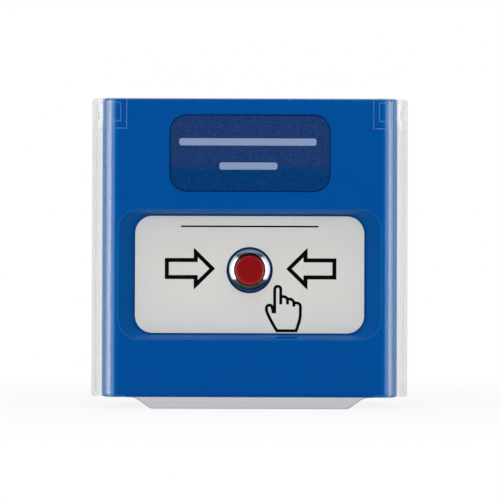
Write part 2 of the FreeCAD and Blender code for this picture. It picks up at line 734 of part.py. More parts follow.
def window_lens():
    """Tinted lens with a flange that bears on the inside of the front wall."""
    body = new_body("window_lens", window_rise)
    flange = front_sketch(body, "lens_flange", flange_back)
    rounded_rectangle(flange, 0, 0, flange_width, flange_height, flange_radius)
    pad(body, "flange", flange, size.lens_flange_thickness)
    face = front_sketch(body, "lens_face", flange_front)
    gap = size.lens_clearance * 2
    rounded_rectangle(face, 0, 0, size.window_width - gap, size.window_height - gap,
                      size.window_radius - size.lens_clearance)
    lens_front = size.housing_depth - size.lens_inset
    pad(body, "face", face, lens_front - flange_front)


def light_diffuser():
    """White sheet that spreads the backlight behind the lens."""
    body = new_body("light_diffuser", window_rise)
    sheet_outline = front_sketch(body, "diffuser_outline", diffuser_back)
    rounded_rectangle(sheet_outline, 0, 0, flange_width, flange_height, flange_radius)
    pad(body, "diffuser", sheet_outline, size.diffuser_thickness)


def light_box():
    """White frame between the board and the diffuser that keeps the backlight in."""
    body = new_body("light_box", window_rise)
    rear = size.board_depth + size.stack_clearance
    front = diffuser_back - size.stack_clearance
    frame = front_sketch(body, "light_box_outline", rear)
    wall = size.skirt_wall * 2
    rounded_rectangle(frame, 0, 0, flange_width, flange_height, flange_radius)
    rounded_rectangle(frame, 0, 0, flange_width - wall, flange_height - wall,
                      flange_radius - size.skirt_wall)
    pad(body, "frame", frame, front - rear)


def legend_plate():
    """Printed plate on the recess's floor, with a hole round the button's bezel."""
    body = new_body("legend_plate", recess_rise)
    outline = front_sketch(body, "plate_outline", recess_floor)
    rounded_rectangle(outline, 0, 0, size.plate_width, size.plate_height, size.plate_radius)
    circle(outline, 0, size.button_lift, size.plate_hole)
    pad(body, "plate", outline, size.plate_thickness)


# ---------------------------------------------------------------- push button

def is_ring(edge, depth, radius):
    """True for a circle round the Y axis at a depth, of a given radius."""
    round_edge = hasattr(edge.Curve, "Radius") and at(edge.Curve.Radius, radius)
    return round_edge and flat_at_depth(edge, depth)


def button_bezel():
    """Turned metal bezel and threaded barrel in one piece, bored for the cap and closed at the rear."""
    body = new_body("button_bezel", button_rise)
    top = recess_floor + size.bezel_height
    rim = size.bezel_diameter / 2
    barrel = size.barrel_diameter / 2
    bore = size.cap_diameter / 2 + size.cap_clearance
    crown = top - size.bezel_crown
    crown_radius = (bore + rim) / 2
    shoulder = crown - size.bezel_fall
    stem_hole = size.stem_diameter / 2 + size.stem_clearance
    bore_end = barrel_rear + size.barrel_end
    turned(body, "bezel", [(top, bore), (crown, crown_radius), (shoulder, rim), (recess_floor, rim),
                           (recess_floor, barrel), (barrel_rear, barrel), (barrel_rear, stem_hole),
                           (bore_end, stem_hole), (bore_end, bore)])
    fillet(body, "bezel_dome", size.bezel_rounding, lambda edge: is_ring(edge, crown, crown_radius))
    fillet(body, "bezel_edge", size.bezel_edge, lambda edge: is_ring(edge, shoulder, rim))


def button_cap():
    """Red cap with the stem that runs through the barrel, grooved for the retaining clip."""
    body = new_body("button_cap", button_rise)
    front = recess_floor + size.bezel_height + size.cap_proud
    shoulder = front - size.cap_length
    cap = size.cap_diameter / 2
    stem = size.stem_diameter / 2
    groove = stem - size.groove_depth
    groove_front = barrel_rear - size.clip_clearance
    groove_rear = groove_front - size.clip_thickness
    stem_end = bridge_rear + size.bridge_thickness
    turned(body, "cap", [(front, 0), (front, cap), (shoulder, cap), (shoulder, stem), (groove_front, stem),
                         (groove_front, groove), (groove_rear, groove), (groove_rear, stem),
                         (stem_end, stem), (stem_end, 0)])
    fillet(body, "cap_rim", size.cap_rounding, lambda edge: is_ring(edge, front, cap))


def stem_clip():
    """Spring-steel clip in the stem's groove: a ring open at the bottom, which stops the cap."""
    body = new_body("stem_clip", button_rise)
    ring = front_sketch(body, "clip_outline", barrel_rear - size.clip_clearance - size.clip_thickness)
    seat = size.stem_diameter - size.groove_depth * 2
    circle(ring, 0, 0, size.clip_diameter)
    circle(ring, 0, 0, seat)
    pad(body, "clip", ring, size.clip_thickness)
    mouth = front_sketch(body, "clip_mouth", barrel_rear - size.clip_clearance)
    rectangle(mouth, seat / -3, -size.clip_diameter, seat / 3, 0)
    pocket(body, "clip_opening", mouth, size.clip_thickness)


OCTAGON_SLOPE = 0.41421356237309503


def button_spring():
    """Return spring between the barrel's end and the cap's shoulder, of eight-sided wire."""
    body = new_body("button_spring", button_rise)
    seat = barrel_rear + size.barrel_end
    shoulder = recess_floor + size.bezel_height + size.cap_proud - size.cap_length
    clear = size.stack_clearance + size.spring_wire / 2
    wire = side_sketch(body, "wire_section", 0)
    half = size.spring_wire / 2
    cut = half * OCTAGON_SLOPE
    turned_corners = [(-half, cut), (-cut, half), (cut, half), (half, cut)]
    outer = [(across - seat - clear, up + size.spring_diameter / 2) for across, up in turned_corners]
    inner = [(-across - seat - clear, size.spring_diameter / 2 - up) for across, up in turned_corners]
    polygon(wire, outer + inner)
    coil = body.newObject("PartDesign::AdditiveHelix", "coil")
    coil.Profile = wire
    coil.ReferenceAxis = (wire, ["H_Axis"])
    coil.Mode = "height-turns-angle"
    coil.Reversed = True
    bind(coil, "Height", shoulder - seat - clear * 2)
    bind(coil, "Turns", size.spring_turns)
    doc.recompute()


def lock_washer():
    """Steel washer between the recess's floor and the nut."""
    body = new_body("lock_washer", button_rise)
    outline = front_sketch(body, "washer_outline", tray_back - size.washer_thickness)
    circle(outline, 0, 0, size.washer_diameter)
    circle(outline, 0, 0, size.barrel_diameter + size.barrel_clearance * 2)
    pad(body, "washer", outline, size.washer_thickness)


HEXAGON_SLOPE = 0.5773502691896258


def button_nut():
    """Hexagon nut that clamps the bezel to the recess's floor."""
    body = new_body("button_nut", button_rise)
    rear = tray_back - size.washer_thickness - size.nut_thickness
    outline = front_sketch(body, "nut_outline", rear)
    flat = size.nut_across_flats / 2
    corner = flat * (2 * HEXAGON_SLOPE)
    half_side = flat * HEXAGON_SLOPE
    polygon(outline, [(corner, 0), (half_side, flat), (-half_side, flat),
                      (-corner, 0), (-half_side, -flat), (half_side, -flat)])
    circle(outline, 0, 0, size.barrel_diameter + size.barrel_clearance * 2)
    pad(body, "nut", outline, size.nut_thickness)


# ---------------------------------------------------------------- switch block

def switch_body():
    """Moulded block that grips the barrel's end and holds the contacts."""
    body = new_body("switch_body", button_rise)
    front = barrel_rear + size.switch_collar
    half = size.switch_width / 2
    outline = front_sketch(body, "switch_outline", switch_rear)
    rectangle(outline, -half, -half, half, half)
    pad(body, "switch_block", outline, front - switch_rear)
    grip = front_sketch(body, "switch_grip", front)
    circle(grip, 0, 0, size.barrel_diameter + size.barrel_clearance * 2)
    pocket(body, "grip_bore", grip, size.switch_collar)
    cavity = front_sketch(body, "switch_cavity", barrel_rear)
    circle(cavity, 0, 0, size.switch_cavity)
    pocket(body, "cavity_bore", cavity, barrel_rear - switch_inside)
    pins = front_sketch(body, "switch_pin_holes", switch_inside)
    for side in (-1, 1):
        circle(pins, size.contact_spacing / 2 * side, 0, size.contact_pin)
    pocket(body, "pin_holes", pins, size.switch_floor)


def contact_bridge():
    """Moving contact on the stem's end, which closes the two fixed contacts."""
    body = new_body("contact_bridge", button_rise)
    outline = front_sketch(body, "bridge_outline", bridge_rear)
    half_length = size.bridge_length / 2
    half_breadth = size.bridge_width / 2
    rectangle(outline, -half_length, -half_breadth, half_length, half_breadth)
    pad(body, "bridge", outline, size.bridge_thickness)


def switch_pins():
    """Two fixed contacts: a round head on a pin that is soldered through the board."""
    body = new_body("switch_pins", button_rise)
    heads = front_sketch(body, "contact_heads", switch_inside)
    pins = front_sketch(body, "contact_pins", switch_inside)
    for side in (-1, 1):
        circle(heads, size.contact_spacing / 2 * side, 0, size.contact_diameter)
        circle(pins, size.contact_spacing / 2 * side, 0, size.contact_pin)
    pad(body, "heads", heads, size.contact_height)
    pad(body, "pins", pins, switch_inside - board_back + size.pin_protrusion, backwards=True)


# ---------------------------------------------------------------- circuit board

def circuit_board():
    """Board on the housing's bosses, drilled for its screws and the switch pins."""
    body = new_body("circuit_board")
    outline = front_sketch(body, "board_outline", board_back)
    rounded_rectangle(outline, 0, board_rise, board_width, board_height, size.board_radius)
    for across, up in boss_places:
        circle(outline, across, up, size.board_screw_diameter + size.screw_clearance * 2)
    for side in (-1, 1):
        circle(outline, size.contact_spacing / 2 * side, button_rise, size.contact_pin)
    pad(body, "board", outline, size.board_thickness)


def board_screws():
    """Four screws that hold the board against the bosses, put in from the back."""
    screw_group("board_screws", front_sketch, board_back, boss_places, size.board_screw_diameter,
                size.board_thickness + size.board_screw_length, size.board_screw_head,
                size.board_screw_head_height, True)


def backlight_leds():
    """A row of four surface-mounted lamps inside the light box."""
    body = new_body("backlight_leds")
    outline = front_sketch(body, "led_outline", size.board_depth)
    half = size.led_width / 2
    start = size.led_margin - size.window_width / 2
    spacing = -start * 2 / (size.led_count - 1)
    rectangle(outline, start - half, window_rise - half, start + half, window_rise + half)
    lamp = pad(body, "lamp", outline, size.led_height)
    repeat(body, "lamps", lamp, (outline, ["H_Axis"]), spacing, size.led_count)


first_terminal = size.terminal_width * (1 - size.terminal_ways) / 2
clamp_row = button_rise - size.terminal_drop - size.terminal_shoulder / 2


def terminal_block():
    """Screw terminals behind the board: a stepped block with a wire entry and a screw hole per way."""
    body = new_body("terminal_block")
    rear = board_back - size.terminal_depth
    low = button_rise - size.terminal_drop - size.terminal_height / 2
    high = low + size.terminal_height
    section = side_sketch(body, "terminal_section", 0)
    step = size.terminal_shoulder
    polygon(section, [(-board_back, low), (-board_back, high), (-(rear + step), high),
                      (-rear, high - step), (-rear, low)])
    width = size.terminal_width * size.terminal_ways + size.terminal_margin * 2
    pad(body, "terminal_body", section, width, symmetric=True)
    half = size.terminal_mouth / 2
    entry = plan_sketch(body, "wire_entry", low)
    rectangle(entry, first_terminal - half, size.terminal_margin - board_back, first_terminal + half,
              size.terminal_margin + size.terminal_mouth - board_back)
    mouth = pocket(body, "wire_mouth", entry, size.terminal_mouth_depth, backwards=True)
    repeat(body, "wire_mouths", mouth, (entry, ["H_Axis"]), size.terminal_width, size.terminal_ways)
    hole = front_sketch(body, "clamp_hole", rear)
    circle(hole, first_terminal, clamp_row, size.terminal_screw_diameter + size.screw_clearance * 2)
    depth = size.terminal_screw_sink + size.terminal_screw_length
    bore = pocket(body, "clamp_bore", hole, depth, backwards=True)
    repeat(body, "clamp_bores", bore, (hole, ["H_Axis"]), size.terminal_width, size.terminal_ways)


def terminal_screws():
    """The clamp screws, one per way."""
    body = new_body("terminal_screws")
    rear = board_back - size.terminal_depth + size.terminal_screw_sink
    outline = front_sketch(body, "clamp_screw_outline", rear)
    circle(outline, first_terminal, clamp_row, size.terminal_screw_diameter)
    screw = pad(body, "clamp_screw", outline, size.terminal_screw_length)
    repeat(body, "clamp_screws", screw, (outline, ["H_Axis"]), size.terminal_width, size.terminal_ways)


def line_resistors():
    """Two resistors above the terminals, each a round body on leads bent down to the board."""
    body = new_body("line_resistors")
    half_span = size.resistor_span / 2
    bend = size.resistor_lead * 1.5
    axis_depth = board_back - size.resistor_standoff
    for index in (0, 1):
        height = button_rise + size.resistor_lift + size.resistor_spacing * index
        leads = plan_sketch(body, f"lead_path_{index}", height)
        lead_path(leads, half_span, axis_depth, bend)
        section = front_sketch(body, f"lead_section_{index}", board_back)
        circle(section, -half_span, height, size.resistor_lead)
        pipe = body.newObject("PartDesign::AdditivePipe", f"leads_{index}")
        pipe.Profile = section
        pipe.Spine = (leads, ["Edge1", "Edge2", "Edge3", "Edge4", "Edge5"])
        doc.recompute()
        core = side_sketch(body, f"resistor_section_{index}", 0)
        circle(core, -axis_depth, height, size.resistor_diameter)
        pad(body, f"resistor_{index}", core, size.resistor_length, symmetric=True)


def lead_path(sketch, half_span, axis_depth, bend):
    """A U of wire: off the board, a quarter turn, along the resistor, a quarter turn, back to it."""
    near = -board_back
    far = -axis_depth
    corners = [(-half_span, near), (-half_span, far - bend), (bend - half_span, far),
               (half_span - bend, far), (half_span, far - bend), (half_span, near)]
    for start, end in ((0, 1), (2, 3), (4, 5)):
        line = Part.LineSegment(vector(*corners[start]), vector(*corners[end]))
        index = sketch.addGeometry(line, False)
        fix_point(sketch, index, 1, *corners[start])
        fix_point(sketch, index, 2, *corners[end])
    turns = [(bend - half_span, QUARTER, 0, 1), (half_span - bend, 0, 1, 2)]
    for centre_x, start, first_line, second_line in turns:
        ring = Part.Circle(vector(centre_x, far - bend), FreeCAD.Vector(0, 0, 1), bend.number)
        arc = sketch.addGeometry(Part.ArcOfCircle(ring, start, start + QUARTER), False)
        sketch.addConstraint(Sketcher.Constraint("Coincident", arc, 2, first_line, 2))
        sketch.addConstraint(Sketcher.Constraint("Coincident", arc, 1, second_line, 1))
        constrain(sketch, "Radius", bend, arc)


# ---------------------------------------------------------------- flip cover

def flip_cover():
    """Clear cover: a front panel between two side walls, thicker at the hinge, with a lifting lip."""
    body = new_body("flip_cover")
    plan = plan_sketch(body, "cover_plan", 0)
    cover_rear = cover_front - size.cover_reach
    rectangle(plan, -cover_half_width, -cover_front, cover_half_width, -cover_rear)
    pad(body, "cover_block", plan, cover_top * 2, symmetric=True)
    fillet(body, "cover_side_rounding", size.cover_side_radius,
           lambda edge: upright_at(edge, cover_half_width, cover_front))
    fillet(body, "heel_rounding", size.cover_heel_radius,
           lambda edge: flat_at_depth(edge, cover_rear) and is_level_edge(edge))
    fillet(body, "cover_outline_rounding", size.cover_edge_radius, is_level_edge)
    add_finger_lip(body)
    hollow_cover(body, cover_rear)
    fillet(body, "ear_edge_rounding", size.ear_rounding, is_ear_edge)
    for side, word in ((-1, "left"), (1, "right")):
        bore = side_sketch(body, f"cover_bore_{word}", land_x * side)
        circle(bore, -hinge_depth, hinge_rise, size.hinge_pin_diameter + size.hinge_clearance * 2)
        pocket(body, f"cover_bore_cut_{word}", bore, size.hinge_pin_reach + size.fit_clearance,
               backwards=side > 0)


def is_level_edge(edge):
    """An edge in the cover's top or bottom plane that isn't where a rounded heel begins."""
    level = flat_at_height(edge, cover_top) or flat_at_height(edge, -cover_top)
    return level and not flat_at_depth(edge, cover_front - size.cover_reach + size.cover_heel_radius)


def is_ear_edge(edge):
    """An outer edge of an ear or of a hinge land, where it stands above the wall round it."""
    box = edge.BoundBox
    across = max(abs(box.XMin), abs(box.XMax))
    steps = [
        (size.ear_thickness, size.ear_width, [cover_top - size.ear_height]),
        (size.hinge_land_thickness, size.hinge_land_width,
         [cover_top - size.hinge_land_top, cover_top - size.hinge_land_top - size.hinge_land_height]),
    ]
    for thickness, width, heights in steps:
        front = (cover_front - size.cover_wall - thickness).number
        side = (cover_half_width - size.cover_wall - thickness).number
        raised = -box.YMin < front + 0.01 and across < side + 0.01
        if raised and any(flat_at_height(edge, height) for height in heights):
            return True
        if upright_at(edge, cover_half_width - width, front):
            return True
    return False


def hollow_cover(body, cover_rear):
    """Cuts the inside in levels: the plain wall below, then the thicker ears and the hinge lands."""
    wall = size.cover_wall
    ear = wall + size.ear_thickness
    land = wall + size.hinge_land_thickness
    ear_low = cover_top - size.ear_height
    land_high = cover_top - size.hinge_land_top
    land_low = land_high - size.hinge_land_height
    levels = [
        ("panel", -cover_top - size.finger_lip_drop, ear_low, wall, wall, size.cover_side_radius - wall),
        ("ear_below", ear_low, land_low, ear, ear, size.cover_side_radius - ear),
        ("hinge_land", land_low, land_high, land, land, size.cover_side_radius - land),
        ("ear_above", land_high, cover_top, ear, ear, size.cover_side_radius - ear),
        ("between_ears", ear_low, cover_top, size.ear_width, wall, size.ear_rounding),
        ("between_lands", land_low, land_high, size.hinge_land_width, ear, size.ear_rounding),
    ]
    for name, low, high, side_inset, front_inset, radius in levels:
        front = cover_front - front_inset
        behind = cover_rear - size.cover_side_radius
        outline = plan_sketch(body, f"{name}_outline", low)
        rounded_rectangle(outline, 0, (front + behind) / -2, (cover_half_width - side_inset) * 2,
                          front - behind, radius)
        pocket(body, f"{name}_cut", outline, high - low, backwards=True)


def add_finger_lip(body):
    """A lip below the panel that leans forward, trimmed to a wide trapezium."""
    root = size.finger_lip_rounding - cover_top
    low = -cover_top - size.finger_lip_drop
    wall = size.cover_wall
    flare = size.finger_lip_flare
    section = side_sketch(body, "lip_section", 0)
    polygon(section, [(-cover_inside, root), (-cover_inside, -cover_top), (-(cover_inside + flare), low),
                      (-(cover_front + flare), low), (-cover_front, -cover_top), (-cover_front, root)])
    pad(body, "finger_lip", section, size.finger_lip_top + size.finger_lip_root, symmetric=True)
    trims = front_sketch(body, "lip_trims", cover_front + flare)
    outside = size.finger_lip_top / 2 + size.finger_lip_root
    below = low - size.finger_lip_rounding
    for side in (-1, 1):
        lip_trim(trims, side, outside, low, below)
    pocket(body, "lip_trim", trims, wall + flare)
    fillet(body, "lip_rounding", size.finger_lip_rounding, is_lip_corner)


def lip_trim(sketch, side, outside, low, below):
    """What is cut off one side of the lip: along the panel's edge, round a hollow and down the slope."""
    root = size.finger_lip_root
    root_x = size.finger_lip_top / 2 * side
    end_x = size.finger_lip_bottom / 2 * side
    corners = [(end_x, low), (end_x, below), (outside * side, below), (outside * side, -cover_top)]
    first = sketch.GeometryCount
    for start, end in zip(corners, corners[1:]):
        sketch.addGeometry(Part.LineSegment(vector(*start), vector(*end)), False)
    edge_end = vector(root_x + root / 3 * side, -cover_top)
    slope_start = vector(root_x - root / 4 * side, -cover_top - root / 6)
    edge = sketch.addGeometry(Part.LineSegment(vector(*corners[-1]), edge_end), False)
    slope = sketch.addGeometry(Part.LineSegment(slope_start, vector(*corners[0])), False)
    centre = vector(root_x + root / 3 * side, -cover_top - root)
    ring = Part.Circle(centre, FreeCAD.Vector(0, 0, 1), root.number)
    turn = QUARTER * 0.4
    start = QUARTER if side > 0 else QUARTER - turn
    hollow = sketch.addGeometry(Part.ArcOfCircle(ring, start, start + turn), False)
    near_edge, near_slope = (1, 2) if side > 0 else (2, 1)
    sketch.addConstraint(Sketcher.Constraint("Tangent", edge, 2, hollow, near_edge))
    sketch.addConstraint(Sketcher.Constraint("Tangent", hollow, near_slope, slope, 1))
    sketch.addConstraint(Sketcher.Constraint("Coincident", slope, 2, first, 1))
    sketch.addConstraint(Sketcher.Constraint("Coincident", first + 2, 2, edge, 1))
    constrain(sketch, "Radius", root, hollow)
    constrain(sketch, "DistanceY", -cover_top, edge, 2)
    for index, (across, up) in enumerate(corners[:3]):
        fix_point(sketch, first + index, 1, across, up)
    fix_point(sketch, first + 2, 2, *corners[-1])
    for index in (0, 1):
        sketch.addConstraint(Sketcher.Constraint("Coincident", first + index, 2, first + index + 1, 1))
    mark = sketch.addGeometry(Part.Point(vector(root_x, -cover_top)), True)
    fix_point(sketch, mark, 1, root_x, -cover_top)
    sketch.addConstraint(Sketcher.Constraint("PointOnObject", mark, 1, slope))


def is_lip_corner(edge):
    """The two corners at the lip's end, as seen from the front."""
    box = edge.BoundBox
    low = -cover_top - size.finger_lip_drop
    upright = box.XLength < 0.01
    return upright and at(abs(box.Center.x), size.finger_lip_bottom / 2) and flat_at_height(edge, low)


def hinge_pin(word, side):
    """Steel pin pressed into the housing's boss, on which the cover turns."""
    body = new_body(f"hinge_pin_{word}")
    start = (inside_half_width - size.hinge_boss_length) * side
    end = land_x + size.hinge_pin_reach
    outline = side_sketch(body, f"pin_outline_{word}", start)
    circle(outline, -hinge_depth, hinge_rise, size.hinge_pin_diameter)
    pad(body, f"pin_{word}", outline, end - inside_half_width + size.hinge_boss_length, backwards=side < 0)
    chamfer(body, f"pin_end_{word}", size.pin_chamfer, lambda edge: at(abs(edge.BoundBox.Center.x), end))


# ---------------------------------------------------------------- the whole call point

def write_parts():
    """Check every object and every sub-part, then write one STEP file for each."""
    doc.recompute()
    for item in doc.Objects:
        if "Invalid" in item.State or "Error" in item.State:
            raise ValueError(f"{item.Label} failed: {item.State}")
    os.makedirs("parts", exist_ok=True)
    for body in sub_parts:
        if body.Shape.isNull() or not body.Shape.isValid() or not body.Shape.Solids:
            raise ValueError(f"{body.Label} has no valid shape")
        body.Shape.exportStep(f"parts/{body.Label}.step")
        print(f"{body.Label}: {len(body.Shape.Solids)} solid, {body.Shape.Volume:.1f} mm3")


back_box()
cable_grommet()
housing_seal()
front_housing()
housing_screws()
window_lens()
light_diffuser()
light_box()
legend_plate()
button_bezel()
button_cap()
stem_clip()
button_spring()
lock_washer()
button_nut()
switch_body()
contact_bridge()
switch_pins()
circuit_board()
board_screws()
backlight_leds()
terminal_block()
terminal_screws()
line_resistors()
flip_cover()
hinge_pin("left", -1)
hinge_pin("right", 1)
write_parts()
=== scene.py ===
import math

import bmesh
import bpy
from mathutils import Matrix, Vector


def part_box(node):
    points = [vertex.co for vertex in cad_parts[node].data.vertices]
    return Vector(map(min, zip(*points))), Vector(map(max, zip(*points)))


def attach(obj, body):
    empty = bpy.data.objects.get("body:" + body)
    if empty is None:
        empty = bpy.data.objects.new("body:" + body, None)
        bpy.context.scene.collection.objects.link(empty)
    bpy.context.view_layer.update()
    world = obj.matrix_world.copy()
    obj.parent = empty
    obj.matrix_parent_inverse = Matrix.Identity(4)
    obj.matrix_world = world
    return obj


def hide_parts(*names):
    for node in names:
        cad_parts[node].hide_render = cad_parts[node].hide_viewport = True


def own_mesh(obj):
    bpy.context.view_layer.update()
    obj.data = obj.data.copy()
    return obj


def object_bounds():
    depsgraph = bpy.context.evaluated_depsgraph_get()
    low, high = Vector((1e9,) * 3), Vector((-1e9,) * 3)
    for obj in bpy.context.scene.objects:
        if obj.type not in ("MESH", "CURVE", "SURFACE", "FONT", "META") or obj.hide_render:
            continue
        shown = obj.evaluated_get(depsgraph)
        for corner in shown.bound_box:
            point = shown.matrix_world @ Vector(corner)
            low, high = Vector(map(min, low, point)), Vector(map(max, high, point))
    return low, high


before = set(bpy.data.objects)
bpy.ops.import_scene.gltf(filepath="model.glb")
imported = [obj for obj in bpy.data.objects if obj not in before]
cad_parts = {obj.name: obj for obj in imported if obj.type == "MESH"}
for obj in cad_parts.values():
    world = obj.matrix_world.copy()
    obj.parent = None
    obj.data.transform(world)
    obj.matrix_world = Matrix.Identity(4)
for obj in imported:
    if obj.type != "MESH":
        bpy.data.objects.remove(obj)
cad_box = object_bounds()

# ------------------------------------------------------------------ camera
# A long lens at the height of the call point's middle, square on to its face, so that the
# housing's edges stay upright.

camera_place = Vector((-0.00241, -0.84195, -0.00923))
aim = Vector((0.00009, -0.042, -0.00070))
view_width = 0.1685
camera_roll = math.radians(0.178)
film_width = 36


def put_in_scene(name, data):
    """A new object in the scene, for a mesh, a lamp or a camera."""
    made = bpy.data.objects.new(name, data)
    bpy.context.scene.collection.objects.link(made)
    return made


camera = put_in_scene("camera", bpy.data.cameras.new("camera"))
camera.data.sensor_width = film_width
camera.data.lens = film_width * (aim - camera_place).length / view_width
camera.data.clip_start = 0.05
camera.data.clip_end = 50
camera.rotation_mode = "QUATERNION"
camera.location = camera_place
camera.rotation_quaternion = (aim - camera_place).to_track_quat("-Z", "Y") @ Matrix.Rotation(
    camera_roll, 4, "Z").to_quaternion()
bpy.context.scene.camera = camera
bpy.context.scene.view_settings.view_transform = "Standard"

# ------------------------------------------------------------------ table and lights
# A pale table top in a white studio, with two tall softboxes before the object and a lamp above.
# Gloss reflects a dark doorway ahead and bright walls beside it, and no table before the object.
# Seen directly, or straight through clear plastic, the studio is plain white.


class Wire:
    """A node's socket. Sums written with it become Math nodes."""

    def __init__(self, tree, socket):
        self.tree = tree
        self.socket = socket

    def sum_node(self, operation, first, second):
        return self.tree.add("ShaderNodeMath", {"operation": operation}, {0: first, 1: second})

    def __add__(self, other):
        return self.sum_node("ADD", self, other)

    def __mul__(self, other):
        return self.sum_node("MULTIPLY", self, other)

    def __sub__(self, other):
        return self.sum_node("SUBTRACT", self, other)

    def __rsub__(self, other):
        return self.sum_node("SUBTRACT", other, self)

    def __truediv__(self, other):
        return self.sum_node("DIVIDE", self, other)

    def __rtruediv__(self, other):
        return self.sum_node("DIVIDE", other, self)

    def __neg__(self):
        return 0 - self

    def __lt__(self, other):
        return self.sum_node("LESS_THAN", self, other)

    def __gt__(self, other):
        return self.sum_node("GREATER_THAN", self, other)

    def __abs__(self):
        return self.tree.add("ShaderNodeMath", {"operation": "ABSOLUTE"}, {0: self})

    def or_more(self, other):
        """The greater of the two."""
        return self.sum_node("MAXIMUM", self, other)

    def or_less(self, other):
        """The smaller of the two."""
        return self.sum_node("MINIMUM", self, other)

    __radd__ = __add__
    __rmul__ = __mul__


class Tree:
    """The nodes of a finish or of a shape."""

    def __init__(self, nodes_of):
        self.nodes = nodes_of.nodes
        self.links = nodes_of.links
        self.nodes.clear()

    def add(self, kind, settings=None, sockets=None, out=0):
        """A node: its settings first, then the values or wires of its sockets."""
        node = self.nodes.new(kind)
        for name, value in (settings or {}).items():
            if name == "stops":
                ramp = node.color_ramp.elements
                while len(ramp) < len(value):
                    ramp.new(0.5)
                for stop, (place, colour) in zip(ramp, value):
                    stop.position = place
                    stop.color = colour
            else:
                setattr(node, name, value)
        for name, value in (sockets or {}).items():
            for one in value if isinstance(value, list) else [value]:
                if isinstance(one, Wire):
                    self.links.new(one.socket, node.inputs[name])
                else:
                    node.inputs[name].default_value = one
        return Wire(self, node.outputs[out]) if node.outputs else None

    def mixed(self, share, first, second):
        """One colour passing into another."""
        return self.add("ShaderNodeMix", {"data_type": "RGBA"}, {0: share, 6: first, 7: second}, 2)

    def noise(self, place, scale, detail):
        """A soft random pattern."""
        return self.add("ShaderNodeTexNoise", {}, {"Vector": place, "Scale": scale, "Detail": detail})

    def along(self, place, axis):
        """How far a place lies along one axis."""
        return self.add("ShaderNodeSeparateXYZ", {}, {0: place}, axis)

    def length(self, line):
        """How long a vector is."""
        return self.add("ShaderNodeVectorMath", {"operation": "LENGTH"}, {0: line}, "Value")

    def of_ray(self, *facts):
        """What is known of a ray of light, such as whether it comes from the camera."""
        return [self.add("ShaderNodeLightPath", out=fact) for fact in facts]


def seen_directly(tree):
    """1 on rays from the camera, from gloss and through glass."""
    camera_ray, glossy_ray, glass_ray = tree.of_ray("Is Camera Ray", "Is Glossy Ray", "Is Transmission Ray")
    return camera_ray.or_more(glossy_ray).or_more(glass_ray)


def eased(tree, value, start, end, low=0.0, high=1.0):
    """A soft step from low to high while a value goes from start to end."""
    return tree.add("ShaderNodeMapRange", {"interpolation_type": "SMOOTHSTEP"}, {
        "Value": value, "From Min": start, "From Max": end, "To Min": low, "To Max": high})


world = bpy.data.worlds.new("studio")
world.use_nodes = True
bpy.context.scene.world = world
studio = Tree(world.node_tree)
heading = studio.add("ShaderNodeTexCoord", out="Generated")
across, toward_back, upward = [studio.along(heading, axis) for axis in "XYZ"]
fill_level = 0.525
doorway_width, doorway_height, doorway_level = 0.075, 0.10, 0.01
wall_middle, wall_flare, side_wall_level = 0.18, 0.73, 1.35
ceiling_level, overhead_level, floor_level, back_ceiling_level = 0.035, 0.62, 0.012, 0.5
off_doorway = (abs(across) / doorway_width).or_more(abs(upward) / doorway_height)
steepness = upward / (wall_middle + wall_flare * abs(across))
doorway = eased(studio, off_doorway, 0.95, 1.05, doorway_level, 1.0)
ceiling = eased(studio, upward, 0.66, 1.0, ceiling_level, overhead_level)
over_wall = eased(studio, steepness, 0.9, 1.1)
floor = eased(studio, steepness, -0.52, -0.66, 1.0, floor_level)
side_walls = eased(studio, abs(across), 0.62, 0.80, 1.0, side_wall_level)
front_level = doorway * (1 - over_wall + over_wall * ceiling) * floor * side_walls
behind = (eased(studio, toward_back, -0.05, 0.10)
          * eased(studio, upward, 0.60, 0.90, 1.0, back_ceiling_level))
reflections, = studio.of_ray("Glossy Depth")
shown_level = (reflections < 0.5).or_more(behind + (1 - behind) * front_level)
direct = seen_directly(studio)
studio.add("ShaderNodeOutputWorld", {}, {"Surface": studio.add(
    "ShaderNodeBackground", {}, {"Color": (1, 1, 1, 1),
                                 "Strength": direct * shown_level + (1 - direct) * fill_level})})


def new_material(name):
    """An empty material and its tree."""
    material = bpy.data.materials.new(name)
    material.use_nodes = True
    return material, Tree(material.node_tree)


def from_sheet(name, sheet, material):
    """An object made of the faces drawn so far, in one material."""
    mesh = bpy.data.meshes.new(name)
    sheet.to_mesh(mesh)
    sheet.free()
    mesh.materials.append(material)
    return put_in_scene(name, mesh)


pale_table, tree = new_material("pale_table")
place = tree.add("ShaderNodeTexCoord", out="Object")
paper = tree.noise(place, 60.0, 4.0)
painted = tree.add("ShaderNodeBsdfDiffuse", {}, {
    "Color": tree.mixed(paper, (0.80, 0.80, 0.80, 1), (0.86, 0.86, 0.86, 1))})
glowing = tree.add("ShaderNodeEmission", {}, {"Color": (1, 1, 1, 1), "Strength": 1.0})
shadow_start, shadow_end, white_at_object = 0.07, 0.24, 0.88
white_share = eased(tree, tree.length(place), shadow_start, shadow_end, white_at_object, 1.0)
seen = tree.add("ShaderNodeMixShader", {}, {0: seen_directly(tree) * white_share, 1: painted, 2: glowing})
lamp_ray, diffuse_ray, reflections = tree.of_ray("Is Shadow Ray", "Is Diffuse Ray", "Glossy Depth")
stays = ((reflections < 0.5) - lamp_ray).or_more(diffuse_ray)
table_edge = -0.035
before_edge = tree.along(place, "Y") < table_edge
tree.add("ShaderNodeOutputMaterial", {}, {"Surface": tree.add("ShaderNodeMixShader", {}, {
    0: (1 - stays) * before_edge, 1: seen, 2: tree.add("ShaderNodeBsdfTransparent")})})

table_reach, table_gap = 3.0, 0.0003
table_sheet = bmesh.new()
bmesh.ops.create_circle(table_sheet, cap_ends=True, segments=96, radius=table_reach)
table = from_sheet("table", table_sheet, pale_table)
table.data.transform(Matrix.Translation((0, 0, cad_box[0].z - table_gap)))


